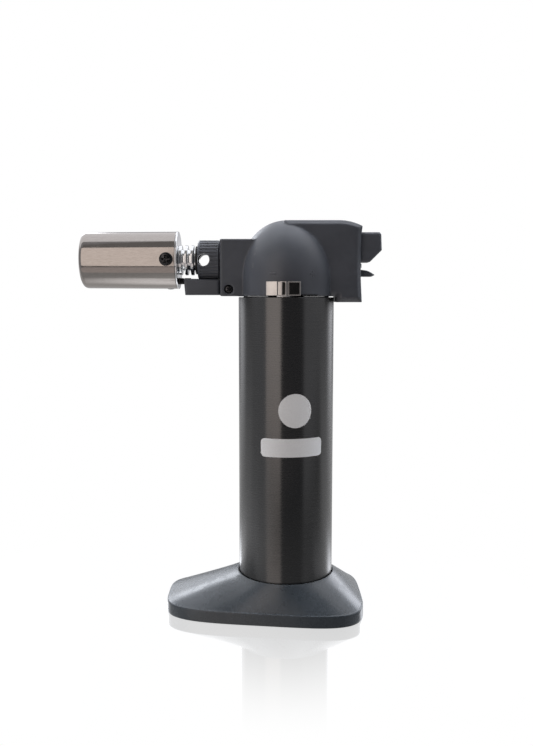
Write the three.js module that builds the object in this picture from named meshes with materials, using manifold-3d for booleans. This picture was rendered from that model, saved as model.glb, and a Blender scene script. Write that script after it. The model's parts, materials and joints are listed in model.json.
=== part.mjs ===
// Butane torch: an upright round fuel tank in a flared stand, under a moulded head that carries the burner.
// Millimetres, +Z up. The flame leaves towards -X and the trigger is on the +X side.
// Sub-parts are laid out about the tank's axis, and one group moves them so that the origin is under the
// middle of the whole torch.
import * as THREE from 'three';
import { mergeVertices } from 'three/addons/utils/BufferGeometryUtils.js';
import Module from 'manifold-3d';

const wasm = await Module();
wasm.setup();

// ---- Driving dimensions ----
const gap = 0.3;

const stand = {
  halfLength: 38.6,
  halfDepth: 23.2,
  centreX: -8.4,
  taper: 0.212,
  squareness: 4.1,
  rimHeight: 4.9,
  topHeight: 14.6,
  topRadius: 19.3,
  wall: 2.0,
  plateBottom: 0.6,
  plateTop: 2.6,
  refillHole: 8.5,
};
const standScrews = [[-36, -13], [-36, 13], [22.5, -14.5], [22.5, 14.5]];

const sleeve = { radius: 18.5, wall: 0.8, bottom: 4.2, top: 123.1 };
const tank = { radius: 17.4, wall: 1.6, floor: 7.2, top: 117.5, lidTop: 122.7, bossRadius: 6, bossTop: 19 };

const head = {
  bottom: 123.5,
  top: 152.1,
  wall: 1.6,
  domeTop: 152.6,
  domeRadius: 18.4,
  domeCentreZ: 130.8,
  frontX: -25.3,
  frontHalfWidth: 8.25,
  frontTop: 145.0,
  rearX: 28.1,
  rearHalfWidth: 8.5,
  rearBottom: 121.2,
  rearStepX: 18.9,
};
const domeSides = 32;
const capSteps = 6;

const burnerZ = 137.3;
const barrel = {
  front: -78.4,
  rear: -42.15,
  frontRadius: 10.75,
  rearRadius: 10.95,
  bore: 10.05,
  lip: 2.0,
  screwX: -45.3,
};
const cap = { front: -48.5, discFront: -42.05, rear: -41.45, plugRadius: 9.7, discRadius: 11 };
const barrelScrews = 3;
const neck = { front: -50, rear: -22.8, radius: 4.0, bore: 2.9, finRadius: 5.75, finPitch: 2.3, fins: 3 };
const collar = { front: -34.0, rear: -25.8, radius: 7.65, airHoleX: -31.7, airHole: 2.4 };
const shroud = { front: -39.1, rear: -25.6, bottom: 123.9, top: 129.9, halfWidth: 6.4, wall: 1.0 };
const sparkRadius = 8.0;

const trigger = { rear: 36.4, front: 21.5, bottom: 136.5, top: 147.8, halfWidth: 5.4 };
const lever = { pivotX: -9, pivotZ: 131.5, bottom: 127.7, top: 129.2, noseX: 9.5 };
const lock = { pivotX: 24, bottom: 131.0, top: 133.6, tipX: 34.4, swingDegrees: 22 };
// The spring's space stays longer than its wound-solid length when the plunger is fully in.
const piezo = {
  front: 2.5,
  rear: 16.5,
  z: 143,
  halfHeight: 3.8,
  halfWidth: 3.8,
  springSeat: 5.3,
  plungerFront: 13,
};
const slider = {
  innerRadius: 18.6,
  outerRadius: 19.6,
  bottom: 123.7,
  top: 128.9,
  centre: -4.6,
  halfAngle: 19.2,
};
const flowTravel = { less: -12, more: 34 };

// The torch reaches from the barrel's mouth to the trigger's back, and its middle is the origin.
const axisX = -(barrel.front + trigger.rear) / 2;

// ---- Shape helpers ----
const degrees = Math.PI / 180;

// Turns a closed three.js geometry into a manifold solid with its faces pointing out.
function solid(geometry) {
  const bare = geometry.clone();
  bare.deleteAttribute('normal');
  bare.deleteAttribute('uv');
  const merged = mergeVertices(bare, 1e-4);
  const position = merged.attributes.position.array;
  const all = merged.index.array;
  const corner = (i) => new THREE.Vector3().fromArray(position, 3 * i);
  const kept = [];
  let volume = 0;
  for (let i = 0; i < all.length; i += 3) {
    const [a, b, c] = [all[i], all[i + 1], all[i + 2]];
    if (a !== b && b !== c && c !== a) {
      kept.push([a, b, c]);
      volume += corner(a).dot(corner(b).cross(corner(c)));
    }
  }
  const triangles = kept.flatMap(([a, b, c]) => (volume > 0 ? [a, b, c] : [a, c, b]));
  const mesh = new wasm.Mesh({
    numProp: 3,
    vertProperties: new Float32Array(position),
    triVerts: new Uint32Array(triangles),
  });
  return new wasm.Manifold(mesh);
}

function geometryOf(shape) {
  const mesh = shape.getMesh();
  const geometry = new THREE.BufferGeometry();
  geometry.setAttribute('position', new THREE.BufferAttribute(mesh.vertProperties, 3));
  geometry.setIndex(new THREE.BufferAttribute(mesh.triVerts, 1));
  geometry.computeVertexNormals();
  return geometry;
}

function join(...shapes) {
  return shapes.reduce((whole, shape) => whole.add(shape));
}

function cut(shape, ...tools) {
  return tools.reduce((rest, tool) => rest.subtract(tool), shape);
}

function block(x0, x1, y0, y1, z0, z1) {
  const geometry = new THREE.BoxGeometry(x1 - x0, y1 - y0, z1 - z0);
  geometry.translate((x0 + x1) / 2, (y0 + y1) / 2, (z0 + z1) / 2);
  return solid(geometry);
}

// Lays a geometry made about +Y along another axis.
function turnTo(axis, geometry) {
  if (axis === 'x') {
    geometry.rotateZ(-Math.PI / 2);
  }
  if (axis === 'z') {
    geometry.rotateX(Math.PI / 2);
  }
  return geometry;
}

// A round bar along one axis, from one station to another, with its axis through the point (x, y, z).
function bar(axis, radius, from, to, [x, y, z], sides = 24) {
  const geometry = new THREE.CylinderGeometry(radius, radius, to - from, sides);
  geometry.translate(0, (from + to) / 2, 0);
  turnTo(axis, geometry);
  geometry.translate(x, y, z);
  return solid(geometry);
}

// A turned piece: the profile is a list of [radius, station along the axis].
function turned(axis, profile, [x, y, z], sides = 32) {
  const points = profile.map(([radius, station]) => new THREE.Vector2(radius, station));
  const geometry = new THREE.LatheGeometry(points, sides);
  turnTo(axis, geometry);
  geometry.translate(x, y, z);
  return solid(geometry);
}

// A turned piece with a bore: the profile is a loop that closes on itself.
function turnedRing(axis, profile, centre, sides = 32) {
  return turned(axis, [...profile, profile[0]], centre, sides);
}

// A flat outline in X and Z, with the thickness along Y.
function slab(outline, y0, y1, bevel = 0) {
  const shape = new THREE.Shape(outline.map(([x, z]) => new THREE.Vector2(x, z)));
  const geometry = new THREE.ExtrudeGeometry(shape, {
    depth: y1 - y0 - 2 * bevel,
    bevelEnabled: bevel > 0,
    bevelThickness: bevel,
    bevelSize: bevel,
    bevelOffset: -bevel,
    bevelSegments: 1,
    curveSegments: 8,
  });
  geometry.rotateX(Math.PI / 2);
  geometry.translate(0, y1 - bevel, 0);
  return solid(geometry);
}

// A flat outline in X and Y, with the thickness along Z.
function plate(outline, z0, z1) {
  const shape = new THREE.Shape(outline.map(([x, y]) => new THREE.Vector2(x, y)));
  const geometry = new THREE.ExtrudeGeometry(shape, { depth: z1 - z0, bevelEnabled: false });
  geometry.translate(0, 0, z0);
  return solid(geometry);
}

// A round section swept along a curve.
function swept(curve, radius, steps, sides = 8, boreRadius = 0) {
  const shape = new THREE.Shape();
  const ring = (r) => Array.from({ length: sides }, (_, i) => {
    const angle = (2 * Math.PI * i) / sides;
    return new THREE.Vector2(r * Math.cos(angle), r * Math.sin(angle));
  });
  shape.setFromPoints(ring(radius));
  if (boreRadius > 0) {
    shape.holes.push(new THREE.Path(ring(boreRadius).reverse()));
  }
  return solid(new THREE.ExtrudeGeometry(shape, { steps, bevelEnabled: false, extrudePath: curve }));
}

function route(points) {
  return new THREE.CatmullRomCurve3(points.map((p) => new THREE.Vector3(...p)));
}

class Helix extends THREE.Curve {
  constructor(radius, length, turns) {
    super();
    this.radius = radius;
    this.length = length;
    this.turns = turns;
  }

  getPoint(t, target = new THREE.Vector3()) {
    const angle = 2 * Math.PI * this.turns * t;
    return target.set(this.radius * Math.cos(angle), this.radius * Math.sin(angle), this.length * t);
  }
}

// A coil spring that stands on z = 0; its wire's thickness is inside the length.
function coil(meanRadius, wireRadius, length, turns) {
  const helix = new Helix(meanRadius, length - 2 * wireRadius, turns);
  return swept(helix, wireRadius, 8 * turns, 4).translate([0, 0, wireRadius]);
}

// A solid through rings of points that all have the same count, closed flat at both ends.
function loft(rings) {
  const count = rings[0].length;
  const middle = (ring) => ring
    .reduce((sum, p) => sum.add(p), new THREE.Vector3())
    .divideScalar(count);
  const points = [...rings.flat(), middle(rings[0]), middle(rings[rings.length - 1])];
  const index = [];
  for (let i = 0; i < count; i += 1) {
    const next = (i + 1) % count;
    for (let k = 0; k + 1 < rings.length; k += 1) {
      const [low, high] = [k * count, (k + 1) * count];
      index.push(low + i, low + next, high + next, low + i, high + next, high + i);
    }
    const top = (rings.length - 1) * count;
    index.push(points.length - 2, next, i);
    index.push(points.length - 1, top + i, top + next);
  }
  const geometry = new THREE.BufferGeometry();
  geometry.setFromPoints(points);
  geometry.setIndex(index);
  return solid(geometry);
}

// A cross-head screw that points along +Z, with the underside of its head at z = 0.
function crossScrew(headRadius, headHeight, shankRadius, shankLength) {
  const body = turned('z', [
    [0, -headHeight],
    [headRadius * 0.8, -headHeight],
    [headRadius, -headHeight * 0.55],
    [headRadius, 0],
    [shankRadius, 0],
    [shankRadius, shankLength],
    [0, shankLength],
  ], [0, 0, 0], 12);
  const reach = headRadius * 0.62;
  const slot = headRadius * 0.13;
  const depth = headHeight * 0.5;
  return cut(
    body,
    block(-reach, reach, -slot, slot, -headHeight - 1, -headHeight + depth),
    block(-slot, slot, -reach, reach, -headHeight - 1, -headHeight + depth),
  );
}

// ---- Stand ----
// The stand's outline is a rounded rectangle, a little wider at the trigger end, given by its distance from
// the tank's axis in each direction.
function outlineReach(angle, inset) {
  const halfLength = stand.halfLength - inset;
  const inside = (reach) => {
    const x = (reach * Math.cos(angle) - stand.centreX) / halfLength;
    const halfDepth = (stand.halfDepth - inset) * (1 + stand.taper * x);
    const y = (reach * Math.sin(angle)) / halfDepth;
    return Math.abs(x) ** stand.squareness + Math.abs(y) ** stand.squareness < 1;
  };
  let low = 0;
  let high = 2 * stand.halfLength;
  for (let i = 0; i < 40; i += 1) {
    const reach = (low + high) / 2;
    if (inside(reach)) {
      low = reach;
    } else {
      high = reach;
    }
  }
  return low;
}

const standSides = 50;

function standRing(z, reachAt) {
  return Array.from({ length: standSides }, (_, i) => {
    const angle = (2 * Math.PI * (i + 0.5)) / standSides;
    const reach = reachAt(angle);
    return new THREE.Vector3(reach * Math.cos(angle), reach * Math.sin(angle), z);
  });
}

function rimRing(z, inset) {
  return standRing(z, (angle) => outlineReach(angle, inset));
}

function standShell() {
  const edge = 0.5;
  const outside = loft([
    rimRing(0, edge),
    rimRing(edge, 0),
    rimRing(stand.rimHeight - edge, 0),
    rimRing(stand.rimHeight, edge),
    standRing(stand.topHeight, () => stand.topRadius),
  ]);
  const hollow = loft([
    rimRing(-1, stand.wall),
    rimRing(stand.rimHeight - 1.5, stand.wall),
    standRing(stand.topHeight - 2.2, () => stand.topRadius),
  ]);
  const bore = bar('z', sleeve.radius + gap, -1, stand.topHeight + 1, [0, 0, 0], standSides);
  const bossBottom = stand.plateTop + gap;
  const bossTop = stand.rimHeight + 0.8;
  const bosses = standScrews.map(([x, y]) => bar('z', 2.4, bossBottom, bossTop, [x, y, 0], 12));
  const pilots = standScrews.map(([x, y]) => bar('z', 1.2, 1, 5.8, [x, y, 0], 8));
  return cut(join(cut(outside, hollow, bore), ...bosses), ...pilots);
}

function standPlate() {
  const sheet = loft([
    rimRing(stand.plateBottom, stand.wall + gap),
    rimRing(stand.plateTop, stand.wall + gap),
  ]);
  const seat = turnedRing('z', [
    [14.6, stand.plateTop - 0.5],
    [17, stand.plateTop - 0.5],
    [17, sleeve.bottom - gap],
    [14.6, sleeve.bottom - gap],
  ], [0, 0, 0], 28);
  const holes = standScrews.flatMap(([x, y]) => [
    bar('z', 2.4, 0, 1.9, [x, y, 0], 12),
    bar('z', 1.25, 0, 4, [x, y, 0], 8),
  ]);
  return cut(join(sheet, seat), bar('z', stand.refillHole, 0, 4, [0, 0, 0], 28), ...holes);
}

// ---- Tank ----
function tankSleeve() {
  const inner = sleeve.radius - sleeve.wall;
  return turnedRing('z', [
    [inner, sleeve.bottom],
    [sleeve.radius, sleeve.bottom],
    [sleeve.radius, sleeve.top - 0.4],
    [sleeve.radius - 0.4, sleeve.top],
    [inner, sleeve.top],
  ], [0, 0, 0], 52);
}

function fuelTank() {
  const inner = tank.radius - tank.wall;
  const cup = turned('z', [
    [0, sleeve.bottom],
    [tank.radius, sleeve.bottom],
    [tank.radius, tank.top],
    [inner, tank.top],
    [inner, tank.floor],
    [tank.bossRadius, tank.floor],
    [tank.bossRadius, tank.bossTop],
    [0, tank.bossTop],
  ], [0, 0, 0], 28);
  const valveBore = bar('z', 3.9, 0, 17.3, [0, 0, 0]);
  const feedHole = bar('z', 0.9, 17, 20, [0, 0, 0], 12);
  return cut(cup, valveBore, feedHole);
}

// The lid's raised rim closes the seam under the head, except where the slider's arm sweeps.
function tankLid() {
  const plug = tank.radius - tank.wall - 0.5;
  const bore = 4.5;
  const [rimInner, rimOuter] = [14.8, 16.6];
  const lid = turnedRing('z', [
    [bore, 108],
    [plug, 108],
    [plug, 110.6],
    [plug - 2, 110.6],
    [plug - 2, 113.2],
    [plug, 113.2],
    [plug, tank.top + gap],
    [tank.radius, tank.top + gap],
    [tank.radius, tank.lidTop],
    [rimOuter, tank.lidTop],
    [rimOuter, head.bottom - 0.05],
    [rimInner, head.bottom - 0.05],
    [rimInner, tank.lidTop],
    [bore, tank.lidTop],
  ], [0, 0, 0], 36);
  const [from, to] = armSweep(3);
  return cut(lid, sector(rimInner - 1, tank.radius + 1, from, to, tank.lidTop, head.bottom + 1, 8));
}

function lidSeal() {
  const ring = new THREE.TorusGeometry(14.6, 0.9, 5, 20);
  ring.translate(0, 0, 111.9);
  return solid(ring);
}

function feedTube() {
  return turnedRing('z', [[1.9, 22], [2.4, 22], [2.4, 103.5], [1.9, 103.5]], [0, 0, 0], 16);
}

function feedWick() {
  return bar('z', 1.5, 21, 97.5, [0, 0, 0], 12);
}

// ---- Refill valve, in the tank's floor ----
const refill = { bottom: 5.6, top: 17, flangeBottom: 9.3, flangeTop: 10.5, tip: 4.6 };

function refillValveBody() {
  return turnedRing('z', [
    [1.2, refill.bottom],
    [3.6, refill.bottom],
    [3.6, refill.top],
    [2.4, refill.top],
    [2.4, refill.flangeBottom - gap],
    [1.2, refill.flangeBottom - gap],
  ], [0, 0, 0], 14);
}

function refillValveStem() {
  return turned('z', [
    [0, refill.tip],
    [0.6, refill.tip],
    [0.9, refill.tip + 0.5],
    [0.9, refill.flangeBottom],
    [2.0, refill.flangeBottom],
    [2.0, refill.flangeTop],
    [0.8, refill.flangeTop],
    [0.8, refill.flangeTop + 2],
    [0, refill.flangeTop + 2],
  ], [0, 0, 0], 16);
}

function refillValveSpring() {
  const bottom = refill.flangeTop + gap;
  return coil(1.6, 0.25, refill.top - bottom, 4).translate([0, 0, bottom]);
}

// ---- Outlet valve, in the tank's lid ----
const outlet = { chamberBottom: 108, chamberTop: 118, top: 126, sealTop: 111.5, lifterBottom: 129.6 };

function outletValveBody() {
  return turnedRing('z', [
    [1.0, 98],
    [1.6, 98],
    [1.6, 104],
    [4.2, 104],
    [4.2, 122.9],
    [3.6, 122.9],
    [3.6, outlet.top],
    [1.8, outlet.top],
    [1.8, outlet.chamberTop],
    [2.6, outlet.chamberTop],
    [2.6, outlet.chamberBottom],
    [1.0, outlet.chamberBottom],
  ], [0, 0, 0], 16);
}

function outletValveStem() {
  return turnedRing('z', [
    [0.5, outlet.chamberBottom + 1],
    [2.2, outlet.chamberBottom + 1],
    [2.2, outlet.sealTop],
    [1.5, outlet.sealTop],
    [1.5, outlet.lifterBottom],
    [3.0, outlet.lifterBottom],
    [3.0, outlet.lifterBottom + 1],
    [1.5, outlet.lifterBottom + 1],
    [1.1, 131.5],
    [1.1, 133.2],
    [0.5, 133.2],
  ], [0, 0, 0], 12);
}

function outletValveSpring() {
  const bottom = outlet.sealTop + gap;
  return coil(2.05, 0.2, outlet.chamberTop - gap - bottom, 4).translate([0, 0, bottom]);
}

// ---- Flow control: a ring about the outlet valve, with an arm that leaves under the head's edge ----
// Angles are counted about +Z from the near side, -Y.
function atAngle(angle, radius) {
  return [radius * Math.sin(angle * degrees), -radius * Math.cos(angle * degrees)];
}

function sector(innerRadius, outerRadius, from, to, z0, z1, steps = 10) {
  const angles = Array.from({ length: steps + 1 }, (_, i) => from + ((to - from) * i) / steps);
  const outer = angles.map((angle) => atAngle(angle, outerRadius));
  const inner = angles.map((angle) => atAngle(angle, innerRadius)).reverse();
  return plate([...outer, ...inner], z0, z1);
}

const armHalfAngle = 7;

// The angles that the slider's arm sweeps over its whole travel, with a margin at each end.
function armSweep(margin) {
  const reach = armHalfAngle + margin;
  return [slider.centre + flowTravel.less - reach, slider.centre + flowTravel.more + reach];
}

function flowRing() {
  const hub = bar('z', 7, 123.2, 125.6, [0, 0, 0], 32);
  const { centre, outerRadius, bottom } = slider;
  const arm = sector(5, outerRadius - 0.5, centre - armHalfAngle, centre + armHalfAngle, 123.2, bottom, 4);
  return cut(join(hub, arm), bar('z', 3.9, 122, 127, [0, 0, 0], 24));
}

function flowSlider() {
  const { centre, halfAngle, innerRadius, outerRadius, bottom, top } = slider;
  const cover = sector(innerRadius, outerRadius, centre - halfAngle, centre + halfAngle, bottom, top, 12);
  const ridge = sector(outerRadius - 0.3, outerRadius + 0.45, centre - 1.6, centre + 1.6, bottom, top, 2);
  return join(cover, ridge);
}

// ---- Head shells ----
// The rear housing's side outline, shrunk by an inset: a stepped floor, a hollow back and a top that falls
// away to the back in one long arc.
function rearOutline(inset) {
  const back = head.rearX - inset;
  const top = head.top - inset;
  const bottom = head.rearBottom + inset;
  const start = -1;
  const arcStart = back - 8.4;
  const arcRadius = 19.5;
  const arcSteps = 5;
  const crown = Array.from({ length: arcSteps + 1 }, (_, i) => {
    const angle = 27.5 * degrees * (1 - i / arcSteps);
    return [arcStart + arcRadius * Math.sin(angle), top - arcRadius * (1 - Math.cos(angle))];
  });
  return [
    [start, head.bottom + inset],
    [head.rearStepX + inset, head.bottom + inset],
    [head.rearStepX + inset, bottom],
    [back + 0.6, bottom],
    [back + 0.1, bottom + 9],
    [back, bottom + 18],
    [back + 0.1, bottom + 25],
    ...crown,
    [start, top],
  ];
}

function headVolume(inset) {
  const radius = head.domeRadius - inset;
  const rise = head.domeTop - head.domeCentreZ - inset;
  const crown = Array.from({ length: capSteps + 1 }, (_, i) => {
    const angle = (i / capSteps) * 90 * degrees;
    return [radius * Math.cos(angle), head.domeCentreZ + rise * Math.sin(angle)];
  });
  crown[capSteps][0] = 0;
  const domeBottom = inset > 0 ? head.bottom - 1 : head.bottom;
  const dome = turned('z', [[0, domeBottom], [radius, domeBottom], ...crown], [0, 0, 0], domeSides);
  const front = slab([
    [head.frontX + inset, head.bottom + inset],
    [0, head.bottom + inset],
    [0, head.frontTop - inset],
    [head.frontX + inset, head.frontTop - inset],
  ], -head.frontHalfWidth + inset, head.frontHalfWidth - inset, inset > 0 ? 0 : 0.6);
  const rearWidth = head.rearHalfWidth - inset;
  const rear = slab(rearOutline(inset), -rearWidth, rearWidth, inset > 0 ? 0 : 1.7);
  return join(dome, front, rear);
}

const headScrew = { x: -22, z: 126.1, headRadius: 1.4 };

function headWhole() {
  const outside = headVolume(0);
  const pinBosses = bar('y', 2.6, -14, 14, [lever.pivotX, 0, lever.pivotZ], 16);
  const pinSpace = block(-15, -3, -4.2, 4.2, 126, 140);
  const screwBoss = bar('y', 2.2, -head.frontHalfWidth, 2.6, [headScrew.x, 0, headScrew.z], 16);
  const piezoRibs = [6, 13].map((x) => block(x, x + 1.2, -12, 12, 138.6, 147.4));
  const piezoSpace = block(0, 20, -piezo.halfWidth - gap, piezo.halfWidth + gap, 136, 149);
  const lockRibs = [[128.8, 130.4], [134.1, 135.6]].map(([z0, z1]) => block(21.5, 27, -8, 8, z0, z1));
  const inside = join(
    cut(pinBosses, pinSpace),
    screwBoss,
    ...piezoRibs.map((rib) => cut(rib, piezoSpace)),
    ...lockRibs,
  ).intersect(outside);
  const lug = block(head.rearX - 1, head.rearX + 0.8, -3, 3, 134.2, 136.1);
  const hollowed = join(cut(outside, headVolume(head.wall)), inside, lug);
  const [armFrom, armTo] = armSweep(2);
  const side = trigger.halfWidth + gap;
  return cut(
    hollowed,
    bar('x', neck.radius + gap, -30, -22, [0, 0, burnerZ], 24),
    block(-26, -23, 3.0, 5.4, 125.6, 128.2),
    block(26, 31, -side, side, trigger.bottom - gap, trigger.top + gap),
    block(26, 31, -4.6, 4.6, lock.bottom - gap, lock.top + gap),
    bar('y', 1.3, -6.8, 6.8, [lever.pivotX, 0, lever.pivotZ], 16),
    bar('z', 1.9, 128, 136, [lock.pivotX, 0, 0], 16),
    bar('y', headScrew.headRadius + gap, -9, -7.0, [headScrew.x, 0, headScrew.z], 16),
    bar('y', 1.1, -8, 2.2, [headScrew.x, 0, headScrew.z], 12),
    sector(12, 20, armFrom, armTo, head.bottom - 1, 124.05, 8),
  );
}

const wholeHead = headWhole();

function headShellNear() {
  return wholeHead.intersect(block(-60, 60, -40, -gap / 2, 100, 170));
}

function headShellFar() {
  return wholeHead.intersect(block(-60, 60, gap / 2, 40, 100, 170));
}

function headScrewNear() {
  const screw = crossScrew(headScrew.headRadius, 0.8, 0.8, 8.6);
  return screw.rotate([-90, 0, 0]).translate([headScrew.x, -7.3, headScrew.z]);
}

// ---- Igniter shroud: a hollow nose under the collar that leads the spark wire to the barrel ----
function igniterShroud() {
  const { front, rear, bottom, top, halfWidth, wall } = shroud;
  const outside = slab(
    [[front + 0.4, bottom], [rear, bottom], [rear, top], [front - 0.2, top + 0.3]],
    -halfWidth,
    halfWidth,
    0.5,
  );
  const inside = block(
    front + wall, rear + 1, -halfWidth + wall, halfWidth - wall, bottom + wall, bottom + 4.3,
  );
  const cradle = bar('x', collar.radius + 0.35, -34.6, rear + 1, [0, 0, burnerZ], 40);
  const bootNotch = block(front - 1, -32.6, -1.6, 1.6, 127.5, top + 1);
  return cut(outside, inside, cradle, bootNotch);
}

// ---- Trigger, lever, lock and igniter ----
function triggerButton() {
  const { rear, front, bottom, top, halfWidth } = trigger;
  const button = slab([
    [front, bottom],
    [rear - 4.5, bottom],
    [rear, bottom + 4.5],
    [rear - 0.3, top - 0.7],
    [rear - 1.0, top],
    [front, top],
  ], -halfWidth, halfWidth, 0.8);
  const shoulder = block(23.2, 25.9, -6.1, 6.1, bottom, top + 1);
  const arm = block(18.3, front + 1, -1.2, 1.2, bottom, bottom + 2.4);
  const leg = block(18.3, 20.3, -1.2, 1.2, 127, bottom + 2);
  const ramp = slab([[8, 126.5], [20.3, 126.5], [20.3, 129.3], [14.5, 129.3], [8, 127]], -2.6, 2.6);
  return join(button, shoulder, arm, leg, ramp);
}

function valveLever() {
  const { pivotX, pivotZ, bottom, top, noseX } = lever;
  const cheek = slab([
    [pivotX - 2, pivotZ - 1.5],
    [pivotX + 2.5, bottom],
    [noseX, bottom],
    [noseX, top],
    [pivotX + 4, top],
    [pivotX + 2, pivotZ + 1.8],
    [pivotX - 2, pivotZ + 1.8],
  ], -3.6, 3.6);
  const fork = block(pivotX + 3.5, 6.5, -1.9, 1.9, 126, 136);
  const bore = bar('y', 1.3, -5, 5, [pivotX, 0, pivotZ], 16);
  return cut(cheek, fork, bore);
}

function leverPin() {
  return bar('y', 1.0, -6.5, 6.5, [lever.pivotX, 0, lever.pivotZ], 16);
}

function lockLever() {
  const { pivotX, bottom, top, tipX, swingDegrees } = lock;
  const bladeSide = slab([
    [pivotX - 1, bottom],
    [tipX - 1.5, bottom],
    [tipX, bottom + 0.7],
    [tipX - 1.6, top - 1.0],
    [tipX - 3.2, top - 0.3],
    [tipX - 5.2, top],
    [pivotX - 1, top],
  ], -3, 3);
  const bladeTop = plate([
    [pivotX - 1, -2.6],
    [tipX - 2, -2.2],
    [tipX, -1],
    [tipX, 1],
    [tipX - 2, 2.2],
    [pivotX - 1, 2.6],
  ], bottom - 1, top + 1);
  // The hook is drawn as it stands when the lock is on, then swung back to rest.
  const hook = plate([
    [-8, -0.6],
    [-6, -0.6],
    [-6, 1.6],
    [0, 1.6],
    [0, 3.2],
    [-8, 3.2],
  ], bottom, top).rotate([0, 0, -swingDegrees]).translate([pivotX, 0, 0]);
  const trunnion = bar('z', 1.6, 129.1, 135.3, [pivotX, 0, 0], 16);
  const hub = bar('z', 2.9, bottom, top, [pivotX, 0, 0], 20);
  return join(bladeSide.intersect(bladeTop), hook, hub, trunnion);
}

function piezoBody() {
  const { front, rear, z, halfHeight, halfWidth } = piezo;
  const box = slab([
    [front, z - halfHeight],
    [rear, z - halfHeight],
    [rear, z + halfHeight],
    [front, z + halfHeight],
  ], -halfWidth, halfWidth, 0.5);
  return cut(box, block(5, rear + 1, -2.4, 2.4, z - 2.4, z + 2.4));
}

function piezoPlunger() {
  const { z, plungerFront } = piezo;
  return block(plungerFront, trigger.front - gap, -2.0, 2.0, z - 2.0, z + 2.0);
}

function piezoSpring() {
  const { z, springSeat, plungerFront } = piezo;
  const length = plungerFront - gap - springSeat;
  return coil(1.6, 0.25, length, 4).rotate([0, 90, 0]).translate([springSeat, 0, z]);
}

function sparkWire() {
  const path = route([
    [-36.6, 0, 129.2],
    [-34.5, 0.4, 127.9],
    [-31, 1.8, 126.9],
    [-27, 4.0, 126.8],
    [-23.5, 4.2, 126.8],
    [-19.5, 4.8, 128.2],
    [-16, 5.6, 133],
    [-12, 5.8, 139.5],
    [-5, 3.6, 143.2],
    [1.8, 0, 143.2],
  ]);
  return swept(path, 0.75, 26, 5);
}

function sparkBoot() {
  return bar('x', 1.2, cap.rear + 0.1, -37, [0, 0, burnerZ - sparkRadius], 16);
}

// ---- Burner ----
function gasTube() {
  const path = route([
    [0, 0, 133.6],
    [0, 0, 135],
    [-0.8, 0, 136.6],
    [-3, 0, burnerZ],
    [-8, 0, burnerZ],
    [-17.7, 0, burnerZ],
  ]);
  return swept(path, 1.25, 10, 7, 0.7);
}

function gasJet() {
  return turnedRing('x', [
    [0.4, -28.2],
    [1.2, -28.2],
    [2.4, -26.8],
    [2.4, -21.5],
    [4.6, -21.5],
    [4.6, -18.6],
    [1.7, -18],
    [0.4, -18],
  ], [0, 0, burnerZ], 18);
}

function burnerNeck() {
  const { front, rear, radius, bore, finRadius, finPitch, fins } = neck;
  const tube = bar('x', radius, front, rear, [0, 0, burnerZ], 24);
  const finThickness = 1.2;
  const first = -41.35;
  const rings = Array.from({ length: fins }, (_, i) => {
    const start = first + i * finPitch;
    return bar('x', finRadius, start, start + finThickness, [0, 0, burnerZ], 24);
  });
  const flange = bar('x', 5.6, head.frontX + head.wall + gap, rear + 0.9, [0, 0, burnerZ], 24);
  return cut(
    join(tube, ...rings, flange),
    bar('x', bore, front - 1, rear + 2, [0, 0, burnerZ], 20),
    bar('y', collar.airHole, -10, 10, [collar.airHoleX, 0, burnerZ], 20),
  );
}

function collarWasher() {
  return turnedRing('x', [[4.3, -34.9], [5.4, -34.9], [5.4, -34.3], [4.3, -34.3]], [0, 0, burnerZ], 24);
}

function airCollar() {
  const { front, rear, radius, airHoleX, airHole } = collar;
  const bore = neck.radius + gap;
  const ring = turnedRing('x', [
    [bore, front],
    [radius - 1.1, front],
    [radius, front + 1.1],
    [radius, rear - 0.2],
    [radius - 0.2, rear],
    [bore, rear],
  ], [0, 0, burnerZ], 36);
  return cut(ring, bar('y', airHole, -10, 10, [airHoleX, 0, burnerZ], 20));
}

// The three screws stand round the barrel's rear end, the first one towards -Y.
function aroundBarrel(shape, number) {
  const angle = (360 / barrelScrews) * number;
  return shape.rotate([90, 0, 0]).rotate([angle, 0, 0]).translate([barrel.screwX, 0, burnerZ]);
}

function screwHoles(radius, from) {
  return Array.from({ length: barrelScrews }, (_, i) => (
    aroundBarrel(bar('z', radius, from, 14, [0, 0, 0], 12), i)
  ));
}

function barrelTube() {
  const { front, rear, frontRadius, rearRadius, bore, lip } = barrel;
  const tube = turnedRing('x', [
    [bore, rear],
    [rearRadius, rear],
    [frontRadius, front + lip],
    [frontRadius - 0.27 * lip, front + 0.3 * lip],
    [frontRadius - 0.9 * lip, front],
    [frontRadius - lip, front + 0.35],
    [bore, front + lip + 0.2],
  ], [0, 0, burnerZ], 44);
  return cut(tube, ...screwHoles(1.45, 8));
}

function barrelCap() {
  const { front, discFront, rear, plugRadius, discRadius } = cap;
  const bore = neck.radius + gap;
  const disc = turnedRing('x', [
    [bore, front],
    [plugRadius, front],
    [plugRadius, discFront],
    [discRadius, discFront],
    [discRadius, rear],
    [bore, rear],
  ], [0, 0, burnerZ], 36);
  const wireHole = bar('x', 1.45, -50, -41, [0, 0, burnerZ - sparkRadius], 12);
  return cut(disc, wireHole, ...screwHoles(1.45, 6.6));
}

function barrelScrew(number) {
  const screw = crossScrew(2.55, 0.9, 1.1, 4.3);
  return aroundBarrel(screw.rotate([180, 0, 0]).translate([0, 0, 11.25]), number);
}

function flameCup() {
  return turnedRing('x', [
    [4.3, -48.9],
    [5.4, -48.9],
    [5.4, -54],
    [6.4, -57],
    [6.4, -66],
    [5.7, -66],
    [5.7, -57.4],
    [4.3, -54.4],
  ], [0, 0, burnerZ], 20);
}

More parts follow.
